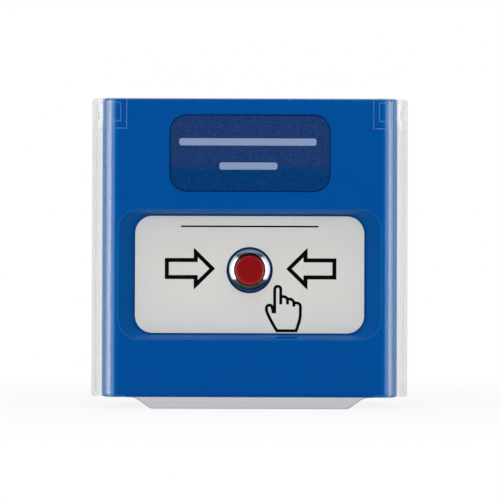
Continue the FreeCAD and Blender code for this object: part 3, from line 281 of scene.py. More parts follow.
def softbox(name, place, width, height, power):
    """A rectangular lamp that faces the middle of the object."""
    lamp = bpy.data.lights.new(name, "AREA")
    lamp.shape = "RECTANGLE"
    lamp.size = width
    lamp.size_y = height
    lamp.energy = power
    stand = put_in_scene(name, lamp)
    stand.location = place
    stand.rotation_mode = "QUATERNION"
    stand.rotation_quaternion = (aim - Vector(place)).to_track_quat("-Z", "Y")
    stand.visible_camera = False
    return stand


softbox("softbox_left", (-0.556, -0.874, 0.05), width=0.384, height=0.80, power=3.2)
softbox("softbox_right", (0.533, -0.889, 0.05), width=0.33, height=0.80, power=2.1)
overhead = softbox("softbox_top", (0.0, -0.30, 1.0), width=0.7, height=0.4, power=3.0)
overhead.visible_glossy = False
overhead.visible_transmission = False

# ------------------------------------------------------------------ back box
# The half that is screwed to the wall: one moulding in glossy blue ABS, with a floor, a rim,
# two screw posts and two hooks.


def sheen(name, **values):
    """The start of a material: its tree, a Principled shader with even values, and the place on it."""
    material, tree = new_material(name)
    shader = tree.add("ShaderNodeBsdfPrincipled", {}, {key.replace("_", " "): value
                                                       for key, value in values.items()})
    tree.add("ShaderNodeOutputMaterial", {}, {"Surface": shader})
    return material, tree, shader.socket.node, tree.add("ShaderNodeTexCoord", out="Object")


def drive(tree, shader, **values):
    """Wires that change over the surface, into a Principled shader."""
    for key, value in values.items():
        tree.links.new(value.socket, shader.inputs[key.replace("_", " ")])


def bumpy(tree, height, depth, strength):
    """A fine relief for a shader's Normal."""
    return tree.add("ShaderNodeBump", {}, {"Strength": strength, "Distance": depth, "Height": height})


def moulded(name, dark, light, grain, roughness, depth=0.00002, rough_range=0.08, index=1.5, tone=None):
    """Moulded plastic: a slight mottle in its colour, a fine grain and the haze of handling."""
    material, tree, shader, place = sheen(name, IOR=index)
    mottle = tree.noise(place, 90.0, 3.0)
    speck = tree.noise(place, grain, 2.0)
    haze = tree.noise(place, 35.0, 5.0)
    colour = tree.mixed(mottle * 0.5 + speck * 0.5, dark, light)
    if tone:
        colour = tone(tree, place, colour)
    drive(tree, shader,
          Base_Color=colour,
          Roughness=roughness + (haze - 0.5) * rough_range,
          Normal=bumpy(tree, speck, depth, 0.35))
    return material


def finish(node, material):
    """A CAD piece whose shape is right gets its finish."""
    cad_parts[node].material_slots[0].material = material


blue_plastic = moulded("blue_plastic", (0.0, 0.080, 0.325, 1), (0.0, 0.094, 0.365, 1), grain=1800.0,
                       roughness=0.12, depth=0.00001, rough_range=0.05, index=1.08)
finish("back_box", blue_plastic)

# ------------------------------------------------------------------ cable grommet and seal
# Both are black rubber: a soft moulded ring whose flanges hold it in the cable entry, and a foam
# ring that is pressed between the back box's rim and the front housing.

black_rubber = moulded("black_rubber", (0.012, 0.012, 0.013, 1), (0.03, 0.03, 0.031, 1), grain=2500.0,
                       roughness=0.75, depth=0.00004)
finish("cable_grommet", black_rubber)
finish("housing_seal", black_rubber)

# ------------------------------------------------------------------ terminals, board and resistors
# A glass-fibre board with green lacquer over its copper tracks. The screw terminals and two
# ceramic resistors are soldered to its rear side.

board_green, tree, shader, place = sheen("board_green", Roughness=0.35, IOR=1.5)
turned = tree.add("ShaderNodeMapping", {}, {"Vector": place, "Rotation": (math.radians(90), 0, 0)})
tracks = tree.add("ShaderNodeTexBrick", {"offset": 0.13, "offset_frequency": 3}, {
    "Vector": turned, "Scale": 300.0, "Mortar Size": 0.09, "Mortar Smooth": 0.0,
    "Brick Width": 11.0, "Row Height": 0.55}, "Fac")
weave = tree.noise(place, 900.0, 2.0)
drive(tree, shader,
      Base_Color=tree.mixed(tracks, tree.mixed(weave, (0.008, 0.10, 0.03, 1), (0.014, 0.15, 0.045, 1)),
                            (0.03, 0.26, 0.08, 1)),
      Normal=bumpy(tree, tracks, 0.00003, 0.4))
finish("circuit_board", board_green)

terminal_green = moulded("terminal_green", (0.02, 0.22, 0.07, 1), (0.03, 0.28, 0.10, 1), grain=1500.0,
                         roughness=0.42)
finish("terminal_block", terminal_green)

resistor_bands, tree, shader, place = sheen("resistor_bands", Roughness=0.3, IOR=1.5)
off_middle = tree.along(place, "X")
resistor_reach = 0.00325
tin, lacquer = (0.75, 0.75, 0.75, 1), (0.62, 0.47, 0.28, 1)
brown, black = (0.35, 0.12, 0.03, 1), (0.01, 0.01, 0.01, 1)
red, gold = (0.6, 0.03, 0.01, 1), (0.5, 0.33, 0.05, 1)
band = tree.add("ShaderNodeValToRGB", {"stops": [
    (0.0, tin), (0.2, lacquer), (0.28, brown), (0.36, lacquer), (0.44, black), (0.52, lacquer),
    (0.6, red), (0.68, lacquer), (0.76, gold), (0.82, lacquer)]},
    {0: off_middle / (resistor_reach * 2) + 0.5})
band.socket.node.color_ramp.interpolation = "CONSTANT"
lead = abs(off_middle) > resistor_reach
drive(tree, shader,
      Base_Color=tree.mixed(lead, band, (0.7, 0.7, 0.69, 1)),
      Metallic=lead)
finish("line_resistors", resistor_bands)

# ------------------------------------------------------------------ screws
# Zinc-plated screws with a cross recess and a real thread: two hold the housing from below, four
# the board, and six slotted ones clamp the wires.


def asked(group, tree, kind, *names):
    """Named inputs of a shape, as wires."""
    for name in names:
        group.interface.new_socket(name, in_out="INPUT", socket_type="NodeSocket" + kind)
    return [tree.add("NodeGroupInput", out=name) for name in names]


def new_shape(name):
    """An empty Geometry Nodes shape that is put at every point of a mesh."""
    group = bpy.data.node_groups.new(name, "GeometryNodeTree")
    group.interface.new_socket("Geometry", in_out="OUTPUT", socket_type="NodeSocketGeometry")
    tree = Tree(group)
    places, = asked(group, tree, "Geometry", "Places")
    return group, tree, places


def put_at_places(group, tree, places, shape):
    """The end of a shape: one copy a place, turned, made real and joined."""
    turn, = asked(group, tree, "Vector", "Turn")
    copies = tree.add("GeometryNodeInstanceOnPoints", {}, {
        "Points": places, "Instance": shape,
        "Rotation": tree.add("FunctionNodeEulerToRotation", {}, {0: turn})})
    return tree.add("GeometryNodeRealizeInstances", {}, {0: copies})


def moved(tree, shape, up, sideways=0.0, stretch=(1.0, 1.0, 1.0)):
    """A shape at a height on its own axis."""
    return tree.add("GeometryNodeTransform", {}, {
        0: shape, "Scale": stretch,
        "Translation": tree.add("ShaderNodeCombineXYZ", {}, {"X": sideways, "Z": up})})


def cut_block(tree, wide, long, high):
    """A rectangular block."""
    return tree.add("GeometryNodeMeshCube", {}, {
        "Size": tree.add("ShaderNodeCombineXYZ", {}, {"X": wide, "Y": long, "Z": high})})


def cut_rod(tree, radius, depth, sides):
    """A round rod or a disc."""
    return tree.add("GeometryNodeMeshCylinder", {}, {"Vertices": sides, "Radius": radius, "Depth": depth})


def tapered(tree, top_radius, bottom_radius, depth):
    """A disc whose edge slopes."""
    return tree.add("GeometryNodeMeshCone", {}, {
        "Vertices": 32, "Radius Top": top_radius, "Radius Bottom": bottom_radius, "Depth": depth})


def cut_away(tree, shape, tools):
    """A shape after its recesses are cut."""
    return tree.add("GeometryNodeMeshBoolean", {"operation": "DIFFERENCE"}, {
        "Mesh 1": shape, "Mesh 2": tools})


def wound(tree, turns, radius, height, steps, wire_radius, wire_sides):
    """A round wire or a ridge that runs up a screw line."""
    return tree.add("GeometryNodeCurveToMesh", {}, {
        0: tree.add("GeometryNodeCurveSpiral", {}, {
            "Resolution": steps, "Rotations": turns, "Start Radius": radius, "End Radius": radius,
            "Height": height}),
        1: tree.add("GeometryNodeCurvePrimitiveCircle", {}, {
            "Resolution": wire_sides, "Radius": wire_radius}),
        "Fill Caps": True})


def made_of(tree, shape, material):
    """A shape in one material."""
    return tree.add("GeometryNodeSetMaterial", {}, {0: shape, "Material": material})


def cut_to_size(name, group, places, **sizes):
    """A piece made by a shape at its places, as a plain mesh."""
    marks = bpy.data.meshes.new(name + "_marks")
    marks.from_pydata(places, [], [])
    jig = put_in_scene(name + "_jig", marks)
    maker = jig.modifiers.new("shape", "NODES")
    maker.node_group = group
    for item in group.interface.items_tree:
        key = item.name.replace(" ", "_").lower()
        if item.in_out == "INPUT" and key in sizes:
            maker[item.identifier] = sizes[key]
    bpy.context.view_layer.update()
    ready = jig.evaluated_get(bpy.context.evaluated_depsgraph_get())
    mesh = bpy.data.meshes.new_from_object(ready)
    bpy.data.objects.remove(jig)
    mesh.name = name
    mesh.polygons.foreach_set("use_smooth", [True] * len(mesh.polygons))
    mesh.set_sharp_from_angle(angle=math.radians(32))
    return put_in_scene(name, mesh)


screw, tree, places = new_shape("screw")
shank_radius, shank_length, pitch = asked(screw, tree, "Float", "Shank Radius", "Shank Length", "Pitch")
head_radius, head_height = asked(screw, tree, "Float", "Head Radius", "Head Height")
recess_width, recess_length, recess_cross = asked(
    screw, tree, "Float", "Recess Width", "Recess Length", "Recess Cross")
plating, = asked(screw, tree, "Material", "Plating")
thread_height = pitch * 0.3
core_radius = shank_radius - thread_height
core = moved(tree, cut_rod(tree, core_radius, shank_length, 24), shank_length / 2)
run_out, missing_turns = pitch * 0.4, 0.6
thread = moved(tree, wound(tree, shank_length / pitch - missing_turns, core_radius,
                           shank_length - run_out * 2, 20, thread_height, 3), run_out)
slope_share, slope_top = 0.35, 0.8
slope = moved(tree, tapered(tree, head_radius, head_radius * slope_top, head_height * slope_share),
              -head_height)
plain = moved(tree, cut_rod(tree, head_radius, head_height * (1 - slope_share), 32),
              head_height * (slope_share - 1) / 2)
head = tree.add("GeometryNodeMeshBoolean", {"operation": "UNION"}, {"Mesh 2": [slope, plain]})
recess_depth = head_height * 1.1
recesses = [moved(tree, cut_block(tree, wide, long, recess_depth), -head_height)
            for wide, long in ((recess_width, recess_length), (recess_cross, recess_width))]
whole = tree.add("GeometryNodeJoinGeometry", {}, {0: [core, thread, cut_away(tree, head, recesses)]})
tree.add("NodeGroupOutput", {}, {0: made_of(tree, put_at_places(screw, tree, places, whole), plating)})

screw_steel, tree, shader, place = sheen("screw_steel", Metallic=1.0)
zinc = tree.noise(place, 700.0, 4.0)
brushed = tree.noise(place, 3500.0, 2.0)
drive(tree, shader,
      Base_Color=tree.mixed(zinc, (0.50, 0.50, 0.49, 1), (0.68, 0.67, 0.64, 1)),
      Roughness=0.26 + zinc * 0.16,
      Normal=bumpy(tree, brushed, 0.00001, 0.25))

rearward = (math.radians(90), 0, 0)


def dress(piece, body, replaced):
    """Puts a finished piece on its body, in place of its CAD node if it has one."""
    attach(piece, body)
    if replaced:
        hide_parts(replaced)


low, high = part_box("housing_screws")
housing_head, housing_head_height = 0.0028, 0.0012
dress(cut_to_size("housing_screws_threaded", screw,
                  [(x, (low.y + high.y) / 2, low.z + housing_head_height)
                   for x in (low.x + housing_head, high.x - housing_head)],
                  shank_radius=0.0014, shank_length=high.z - low.z - housing_head_height,
                  head_radius=housing_head, head_height=housing_head_height, pitch=0.0009,
                  recess_width=0.0007, recess_length=0.0034, recess_cross=0.0034,
                  plating=screw_steel), "root", "housing_screws")

low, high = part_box("board_screws")
board_head, board_head_height = 0.0027, 0.0020
dress(cut_to_size("board_screws_threaded", screw,
                  [(x, high.y - board_head_height, z) for x in (low.x + board_head, high.x - board_head)
                   for z in (low.z + board_head, high.z - board_head)],
                  turn=rearward, shank_radius=0.0013,
                  shank_length=high.y - low.y - board_head_height, head_radius=board_head,
                  head_height=board_head_height, pitch=0.0009, recess_width=0.0007,
                  recess_length=0.0032, recess_cross=0.0032, plating=screw_steel),
      "root", "board_screws")

low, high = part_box("terminal_screws")
clamp_radius, clamp_ways, clamp_head = 0.0016, 6, 0.0012
clamp_step = (high.x - low.x - clamp_radius * 2) / (clamp_ways - 1)
dress(cut_to_size("terminal_screws_slotted", screw,
                  [(low.x + clamp_radius + clamp_step * way, high.y - clamp_head, (low.z + high.z) / 2)
                   for way in range(clamp_ways)],
                  turn=rearward, shank_radius=clamp_radius, shank_length=high.y - low.y - clamp_head,
                  head_radius=clamp_radius, head_height=clamp_head, pitch=0.0006,
                  recess_width=0.0006, recess_length=0.0034, recess_cross=0.0006,
                  plating=screw_steel), "root", "terminal_screws")

# ------------------------------------------------------------------ backlight
# Four surface-mounted lamps: a white body with solder ends and a round yellow phosphor window.
# The white light box and the diffusing sheet stand over them.

lamp_shape, tree, places = new_shape("surface_lamp")
lamp_width, lamp_height = asked(lamp_shape, tree, "Float", "Lamp Width", "Lamp Height")
ceramic, phosphor, solder = asked(lamp_shape, tree, "Material", "Ceramic", "Phosphor", "Solder")
block = moved(tree, cut_block(tree, lamp_width * 0.86, lamp_width, lamp_height * 0.94), lamp_height * 0.47)
well = moved(tree, tapered(tree, lamp_width * 0.4, lamp_width * 0.3, lamp_height * 0.4), lamp_height * 0.6)
block = made_of(tree, cut_away(tree, block, [well]), ceramic)
drop = tree.add("GeometryNodeMeshUVSphere", {}, {"Segments": 24, "Rings": 12, "Radius": lamp_width * 0.32})
glow = made_of(tree, moved(tree, drop, lamp_height * 0.72, stretch=(1.0, 1.0, 0.3)), phosphor)
ends = [made_of(tree, moved(tree, cut_block(tree, lamp_width * 0.07, lamp_width * 0.7, lamp_height * 0.5),
                            lamp_height * 0.25, lamp_width * 0.465 * side), solder) for side in (-1, 1)]
whole = tree.add("GeometryNodeJoinGeometry", {}, {0: [block, glow, *ends]})
tree.add("NodeGroupOutput", {}, {0: put_at_places(lamp_shape, tree, places, whole)})

white_plastic = moulded("white_plastic", (0.72, 0.72, 0.70, 1), (0.82, 0.82, 0.80, 1), grain=1500.0,
                        roughness=0.5)
finish("light_box", white_plastic)
milky_sheet, tree, shader, place = sheen("milky_sheet", IOR=1.49, Subsurface_Weight=0.2,
                                         Subsurface_Scale=0.002)
cloud = tree.noise(place, 400.0, 3.0)
drive(tree, shader,
      Base_Color=tree.mixed(cloud, (0.78, 0.78, 0.76, 1), (0.86, 0.86, 0.85, 1)),
      Roughness=0.45 + cloud * 0.1)
finish("light_diffuser", milky_sheet)

yellow_phosphor, tree, shader, place = sheen("yellow_phosphor", Roughness=0.25, IOR=1.45)
grainy = tree.noise(place, 2500.0, 2.0)
drive(tree, shader, Base_Color=tree.mixed(grainy, (0.80, 0.62, 0.10, 1), (0.90, 0.78, 0.25, 1)))

low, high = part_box("backlight_leds")
lamp_size = high.z - low.z
lamp_row = 4
lamp_step = (high.x - low.x - lamp_size) / (lamp_row - 1)
dress(cut_to_size("backlight_lamps", lamp_shape,
                  [(low.x + lamp_size / 2 + lamp_step * lamp, high.y, (low.z + high.z) / 2)
                   for lamp in range(lamp_row)],
                  turn=rearward, lamp_width=lamp_size, lamp_height=high.y - low.y,
                  ceramic=white_plastic, phosphor=yellow_phosphor, solder=screw_steel),
      "root", "backlight_leds")

# ------------------------------------------------------------------ switch block
# A black contact block on the button's barrel, with brass contacts whose pins are soldered
# through the board.

black_plastic = moulded("black_plastic", (0.012, 0.012, 0.013, 1), (0.024, 0.024, 0.025, 1), grain=1400.0,
                        roughness=0.42)
finish("switch_body", black_plastic)
contact_brass, tree, shader, place = sheen("contact_brass", Metallic=1.0)
tarnish = tree.noise(place, 600.0, 5.0)
drive(tree, shader,
      Base_Color=tree.mixed(tarnish, (0.55, 0.36, 0.13, 1), (0.78, 0.58, 0.26, 1)),
      Roughness=0.2 + tarnish * 0.2)
finish("switch_pins", contact_brass)
finish("contact_bridge", contact_brass)

# ------------------------------------------------------------------ front housing
# The blue front moulding: gently rounded sides, a window above and a sloping tray below, all
# with a small lip round their mouths.

button_line = -7.0


def off_button(tree, place):
    """The distance from the push button's axis, whose height is given in mm."""
    return tree.length(tree.add("ShaderNodeMapping", {}, {
        "Vector": place, "Location": (0, 0, -button_line / 1000), "Scale": (1, 0, 1)}))


def front_painted_light(tree, place, colour):
    """Painted light on the blue moulding: lighter where it is rounded along its sides, lighter inside
    the tray, a lighter line round the tray's mouth as a painted highlight, and painted shade in the
    narrow ring about the button, where the gap beside the bezel is deep."""
    across, depth, rise = [tree.along(place, axis) for axis in "XYZ"]
    # Painted sheen: a lighter blue where the moulding's sides are rounded.
    side_painted_sheen = eased(tree, abs(across), 0.0440, 0.0456).or_less(eased(tree, depth, -0.0380, -0.0405))
    mouth_half_width, mouth_half_height, mouth_middle, mouth_radius = 0.044, 0.0217, -0.009, 0.0067
    past_side = abs(across) - (mouth_half_width - mouth_radius)
    past_top = abs(rise - mouth_middle) - (mouth_half_height - mouth_radius)
    corner = tree.add("ShaderNodeCombineXYZ", {}, {"X": past_side.or_more(0.0), "Y": past_top.or_more(0.0)})
    off_mouth = tree.length(corner) + past_side.or_more(past_top).or_less(0.0) - mouth_radius
    # Painted light: a lighter blue inside the tray's mouth, on its sloping walls.
    tray_painted_light = eased(tree, off_mouth, -0.0003, -0.0007)
    # Painted shade: a near-black ring about the button, where the gap beside the bezel is deep.
    ring_shade_share = 0.55
    ring_painted_shade = eased(tree, off_button(tree, place), 0.0081, 0.0079, 0.0, ring_shade_share)
    # Painted highlight: a lighter line along the edge of the tray's mouth.
    highlight_middle, highlight_share = 0.00015, 0.75
    mouth_painted_highlight = eased(tree, abs(off_mouth - highlight_middle), 0.0001, 0.0004, highlight_share, 0.0)
    colour = tree.mixed(side_painted_sheen, colour, (0.0, 0.147, 0.465, 1))
    colour = tree.mixed(tray_painted_light, colour, (0.0, 0.107, 0.39, 1))
    colour = tree.mixed(ring_painted_shade, colour, (0.004, 0.008, 0.022, 1))
    return tree.mixed(mouth_painted_highlight, colour, (0.012, 0.145, 0.43, 1))


# Painted light: the front's blue is a little lighter than the back box's blue_plastic.
blue_front = moulded("blue_front", (0.0, 0.084, 0.345, 1), (0.0, 0.098, 0.387, 1), grain=1800.0,
                     roughness=0.12, depth=0.00001, rough_range=0.05, index=1.08, tone=front_painted_light)
finish("front_housing", blue_front)

# ------------------------------------------------------------------ window
# A dark blue moulded lens with a fine matt face, held behind the housing's front wall by its
# flange. It is printed with two plain pale bars.

tinted_lens, tree, shader, place = sheen("tinted_lens", IOR=1.15)
grain = eased(tree, tree.noise(place, 2600.0, 1.0), 0.0, 1.0)
# Painted reflection: above this height the lens is given a faint reddish haze.
painted_haze_start, painted_haze_end = 0.0250, 0.0295
drive(tree, shader,
      Base_Color=tree.mixed(eased(tree, tree.along(place, "Z"), painted_haze_start, painted_haze_end),
                            tree.mixed(grain, (0.0, 0.022, 0.103, 1), (0.0, 0.074, 0.265, 1)),
                            tree.mixed(grain, (0.0, 0.022, 0.095, 1), (0.028, 0.074, 0.252, 1))),
      Roughness=0.18 + grain * 0.1)
finish("window_lens", tinted_lens)


def bent_line(corners):
    """Points along a closed outline of (x, z, bulge) corners. A bulge bends the run after it."""
    bend_step = 0.16
    points = []
    for (x, z, bulge), (end_x, end_z, _) in zip(corners, corners[1:] + corners[:1]):
        points.append((x, z))
        if bulge:
            middle = Vector(((x + end_x) / 2, (z + end_z) / 2))
            half = Vector((end_x - x, end_z - z)) / 2
            across = Vector((-half.y, half.x))
            centre = middle + across * ((1 - bulge * bulge) / (2 * bulge))
            sweep = 4 * math.atan(bulge)
            arm = Vector((x, z)) - centre
            steps = max(3, int(abs(sweep) / bend_step))
            for step in range(1, steps):
                turned = Matrix.Rotation(sweep * step / steps, 2) @ arm
                points.append(tuple(centre + turned))
    return points


def thickened(sheet, depth):
    """Gives the faces drawn so far a thickness, towards the wall."""
    raised = bmesh.ops.extrude_face_region(sheet, geom=sheet.faces[:])
    bmesh.ops.translate(sheet, vec=(0, depth, 0),
                        verts=[part for part in raised["geom"] if isinstance(part, bmesh.types.BMVert)])
    bmesh.ops.recalc_face_normals(sheet, faces=sheet.faces[:])


def printed(name, patches, front, material):
    """Ink a few hundredths of a millimetre thick: flat patches of (x, z) points on a face, in mm."""
    ink_depth, ink_root = 0.00003, 0.00001
    ink = bmesh.new()
    for patch in patches:
        ink.faces.new([ink.verts.new((x / 1000, front - ink_depth, z / 1000)) for x, z in patch])
    bmesh.ops.remove_doubles(ink, verts=ink.verts, dist=1e-7)
    thickened(ink, ink_depth + ink_root)
    dress(from_sheet(name, ink, material), "root", None)


def bar(left, right, middle, height, rounding):
    """A plain bar with rounded ends."""
    quarter = math.tan(math.radians(90) / 4)
    top, foot = middle + height / 2, middle - height / 2
    return bent_line([(left + rounding, foot, 0), (right - rounding, foot, quarter),
                      (right, foot + rounding, 0), (right, top - rounding, quarter),
                      (right - rounding, top, 0), (left + rounding, top, quarter),
                      (left, top - rounding, 0), (left, foot + rounding, quarter)])


pale_ink = moulded("pale_ink", (0.27, 0.34, 0.52, 1), (0.33, 0.40, 0.60, 1), grain=2600.0, roughness=0.5)
bar_height, bar_rounding = 2.4, 0.8
printed("window_bars", [bar(-23.8, 22.3, 35.6, bar_height, bar_rounding),
                        bar(-10.3, 9.2, 27.5, bar_height, bar_rounding)],
        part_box("window_lens")[0].y, pale_ink)

# ------------------------------------------------------------------ legend plate
# A satin white plate on the tray's floor, with a hole for the button. It is printed in black with
# a thin rule, an arrow on each side that points at the button, and a pointing hand.

legend_white = moulded("legend_white", (0.87, 0.825, 0.729, 1), (0.93, 0.88, 0.79, 1), grain=1200.0,
                       roughness=0.30, depth=0.00001, index=1.3)
finish("legend_plate", legend_white)
black_ink = moulded("black_ink", (0.001, 0.001, 0.001, 1), (0.003, 0.003, 0.003, 1), grain=2000.0,
                    roughness=0.25, depth=0.00001, index=1.1)
plate_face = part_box("legend_plate")[0].y


def line_crossing(point, along, other, other_along):
    """Where two lines cross."""
    turn = along.x * other_along.y - along.y * other_along.x
    gap = other - point
    return point + along * ((gap.x * other_along.y - gap.y * other_along.x) / turn)


def inset(points, distance):
    """A closed outline's copy, moved inwards by a distance."""
    corners = [Vector(point) for point in points]
    shifted = []
    for before, here, after in zip(corners[-1:] + corners[:-1], corners, corners[1:] + corners[:1]):
        entering, leaving = (here - before).normalized(), (after - here).normalized()
        entering_side = Vector((-entering.y, entering.x)) * distance
        leaving_side = Vector((-leaving.y, leaving.x)) * distance
        if abs(entering.x * leaving.y - entering.y * leaving.x) < 1e-6:
            shifted.append(tuple(here + entering_side))
        else:
            shifted.append(tuple(line_crossing(here + entering_side, entering,
                                               here + leaving_side, leaving)))
    return shifted


def ribbon(outer, inner):
    """Patches between two closed outlines with matching points."""
    return [list(patch) for patch in zip(outer, outer[1:] + outer[:1], inner[1:] + inner[:1], inner)]


arrow_line = 1.37
arrow_shift = 0.33
arrow = [(-12.0, 0.0), (-19.25, 7.15), (-19.25, 3.57), (-29.03, 3.57), (-29.03, -3.57), (-19.25, -3.57),
         (-19.25, -7.15)]
arrow_patches = []
for side in (1, -1):
    outline = [(x * side + arrow_shift, z + button_line) for x, z in arrow[::side]]
    arrow_patches += ribbon(outline, inset(outline, arrow_line))
printed("legend_arrows", arrow_patches, plate_face, black_ink)

hand_line = 1.0
hand = [(7.95, -21.55, 0), (8.5, -21.55, 0), (8.5, -13.95, -1.0), (10.55, -13.95, 0), (10.55, -16.7, -0.5),
        (12.85, -17.35, -0.5), (15.0, -18.5, -0.05), (16.1, -18.55, -0.40), (17.2, -19.9, 0),
        (17.2, -22.4, -0.07), (16.6, -25.5, 0), (15.8, -27.95, 0), (9.3, -27.95, -0.05),
        (6.0, -21.9, -0.15), (5.75, -20.0, -0.5), (7.4, -19.5, -0.12)]
hand_outline = bent_line(hand)
hand_patches = ribbon(inset(hand_outline, -hand_line / 2), inset(hand_outline, hand_line / 2))
finger_folds = [(10.55, -16.6, -19.05), (12.85, -17.45, -19.05), (15.0, -18.4, -19.8)]
for x, upper, lower in finger_folds:
    hand_patches.append([(x - hand_line / 2, lower), (x + hand_line / 2, lower),
                         (x + hand_line / 2, upper), (x - hand_line / 2, upper)])
printed("legend_hand", hand_patches, plate_face, black_ink)
rule_height, rule_rounding = 0.55, 0.2
printed("legend_rule", [bar(-23.3, 23.3, 7.3, rule_height, rule_rounding)], plate_face, black_ink)

# ------------------------------------------------------------------ push button
# A turned and chromed bezel with its barrel, a red satin cap that slides in it, and behind the
# tray a toothed washer, a nut, the return spring and the clip on the stem.

bezel_chrome, tree, shader, place = sheen("bezel_chrome", Metallic=1.0)
polish = tree.noise(place, 900.0, 4.0)
off_axis = off_button(tree, place)
# Painted shade: the chrome is darkened at its outer rim and in its bore, beside the deep gaps round it.
outer_painted_shade = eased(tree, off_axis, 0.00675, 0.00695)
inner_painted_shade = eased(tree, off_axis, 0.00540, 0.00530)
edges = outer_painted_shade.or_more(inner_painted_shade)
drive(tree, shader,
      Base_Color=tree.mixed(edges,
                            tree.mixed(polish, (0.93, 0.91, 0.87, 1), (0.98, 0.96, 0.925, 1)),
                            (0.22, 0.235, 0.26, 1)),
      Roughness=0.06 + polish * 0.05)
finish("button_bezel", bezel_chrome)


def cap_painted_highlight(tree, place, colour):
    """A painted highlight: a brighter red on the rounded rim."""
    rim_painted_highlight = eased(tree, off_button(tree, place), 0.00455, 0.00475)
    return tree.mixed(rim_painted_highlight, colour, (0.47, 0.018, 0.018, 1))


cap_red = moulded("cap_red", (0.29, 0.003, 0.004, 1), (0.34, 0.006, 0.007, 1), grain=1500.0,
                  roughness=0.12, depth=0.00001, rough_range=0.05, tone=cap_painted_highlight)
finish("button_cap", cap_red)
finish("stem_clip", screw_steel)

coil, tree, places = new_shape("return_spring")
coil_radius, coil_height, coil_turns, wire_radius = asked(
    coil, tree, "Float", "Coil Radius", "Coil Height", "Coil Turns", "Wire Radius")
spring_steel, = asked(coil, tree, "Material", "Spring Steel")
whole = wound(tree, coil_turns, coil_radius, coil_height, 48, wire_radius, 14)
tree.add("NodeGroupOutput", {}, {0: made_of(tree, put_at_places(coil, tree, places, whole), spring_steel)})
low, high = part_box("button_spring")
spring_wire = 0.0006
spring_length = high.y - low.y
spring = cut_to_size("return_spring", coil,
                     [((low.x + high.x) / 2, high.y - spring_wire / 2, (low.z + high.z) / 2)],
                     turn=rearward, coil_radius=(high.x - low.x - spring_wire) / 2,
                     coil_height=spring_length - spring_wire, coil_turns=3.5,
                     wire_radius=spring_wire / 2, spring_steel=screw_steel)
dress(spring, "root", "button_spring")
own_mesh(spring)

low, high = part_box("lock_washer")
washer_middle = (low + high) / 2
washer_radius, washer_hole = (high.x - low.x) / 2, 0.0061
tooth_count, tooth_steps, tooth_height = 14, 4, 0.0008
washer = bmesh.new()
rings = []
for step in range(tooth_count * tooth_steps):
    angle = math.tau * step / (tooth_count * tooth_steps)
    reach = washer_hole if step % tooth_steps < tooth_steps / 2 else washer_hole + tooth_height
    rings.append([washer.verts.new((washer_middle.x + math.cos(angle) * radius, low.y,
                                    washer_middle.z + math.sin(angle) * radius))
                  for radius in (reach, washer_radius)])
for near, far in zip(rings, rings[1:] + rings[:1]):
    washer.faces.new([near[0], near[1], far[1], far[0]])
thickened(washer, high.y - low.y)
dress(from_sheet("toothed_washer", washer, screw_steel), "root", "lock_washer")

nickel_plate, tree, shader, place = sheen("nickel_plate", Metallic=1.0)
plating_marks = tree.noise(place, 800.0, 4.0)
drive(tree, shader,
      Base_Color=tree.mixed(plating_marks, (0.60, 0.57, 0.50, 1), (0.72, 0.70, 0.64, 1)),
      Roughness=0.22 + plating_marks * 0.14)
finish("button_nut", nickel_plate)

# ------------------------------------------------------------------ flip cover
# The clear polycarbonate cover, one moulding that turns on two steel pins at its upper corners.
# Its corners thicken inwards in two steps, whose edges are drawn as fine lines of painted highlight,
# and a lip below lifts it. The lamps' light passes through it to the face, and its surface is faintly
# uneven. Its side walls and its lip are tinted grey as painted shade.

finish("hinge_pin_left", screw_steel)
finish("hinge_pin_right", screw_steel)


def layered(tree, share, under, over):
    """One surface passing into another."""
    return tree.add("ShaderNodeMixShader", {}, {0: share, 1: under, 2: over})


def see_through(tree, colour):
    """A surface that only tints what is behind it."""
    return tree.add("ShaderNodeBsdfTransparent", {}, {"Color": colour})


def matt(tree, colour):
    """A surface with no gloss."""
    return tree.add("ShaderNodeBsdfDiffuse", {}, {"Color": colour})


clear_plastic, tree = new_material("clear_plastic")
place = tree.add("ShaderNodeTexCoord", out="Object")
across, depth, rise = [tree.along(place, axis) for axis in "XYZ"]
sideways = abs(across)
facing = abs(tree.along(tree.add("ShaderNodeTexCoord", out="Normal"), "Y"))
marks = tree.noise(place, 60.0, 6.0)
glass = tree.add("ShaderNodeBsdfPrincipled", {}, {"Transmission Weight": 1.0, "IOR": 1.585,
                                                  "Specular Tint": (1.0, 1.0, 0.80, 1)})
wall_front, wall_back, lip_root = -0.040, -0.024, -0.0502
clear = tree.mixed(marks, (0.935, 0.95, 0.96, 1), (0.955, 0.965, 0.975, 1))
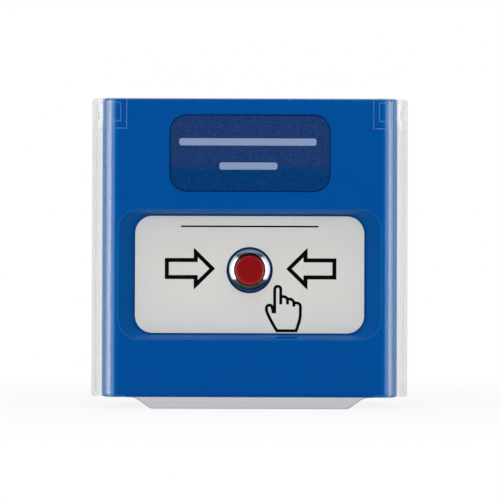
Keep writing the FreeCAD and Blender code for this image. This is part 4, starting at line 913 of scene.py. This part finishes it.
# Painted shade: the tint greys towards the back, where the side walls are seen through.
wall_painted_shade = tree.mixed(eased(tree, depth, wall_front, wall_back), clear, (0.86, 0.865, 0.87, 1))
in_lip = rise < lip_root
# Painted shade: the lip below is tinted a darker grey.
drive(tree, glass.socket.node,
      Base_Color=tree.mixed(in_lip, wall_painted_shade, (0.635, 0.637, 0.66, 1)),
      Roughness=marks * 0.008)
lamp_ray, diffuse_ray = tree.of_ray("Is Shadow Ray", "Is Diffuse Ray")
lit_through = layered(tree, lamp_ray.or_more(diffuse_ray), glass, see_through(tree, (0.93, 0.945, 0.96, 1)))

wall_inner, wall_outer, wall_share = 0.0500, 0.0512, 0.88
top_rim, rim_facing, rim_share = 0.0498, 0.8, 0.6
end_rim = in_lip.or_more(rise > top_rim) * (facing < rim_facing) * rim_share
edge_on = eased(tree, sideways, wall_inner, wall_outer, 0.0, wall_share).or_more(end_rim)
# Where the side walls are seen edge on, and at the top rim and the lip, the glass is mostly a plain
# see-through sheet, whose grey tint is painted shade.
moulding = layered(tree, edge_on, lit_through, see_through(tree, (0.895, 0.897, 0.90, 1)))

ear_inner, ear_low = 0.04135, 0.03995
land_inner, land_low, land_high = 0.04335, 0.04245, 0.04855
step_highlight_width, step_highlight_share, front_reach = 0.00009, 0.10, 0.0462
in_ear = (sideways - ear_inner).or_less(rise - ear_low)
in_land = (sideways - land_inner).or_less((rise - land_low).or_less(land_high - rise))
# Painted highlights: fine pale lines along the edges of the two steps, bluish grey over the bend and cyan
# over the front.
step_painted_highlight = abs(in_ear).or_less(abs(in_land)) < step_highlight_width
on_bend = layered(tree, step_painted_highlight * step_highlight_share, moulding, matt(tree, (0.30, 0.38, 0.50, 1)))
on_front = layered(tree, step_highlight_share, see_through(tree, (1, 1, 1, 1)), matt(tree, (0.35, 0.62, 0.58, 1)))
tree.add("ShaderNodeOutputMaterial", {}, {
    "Surface": layered(tree, step_painted_highlight * (sideways < front_reach), on_bend, on_front)})
finish("flip_cover", clear_plastic)
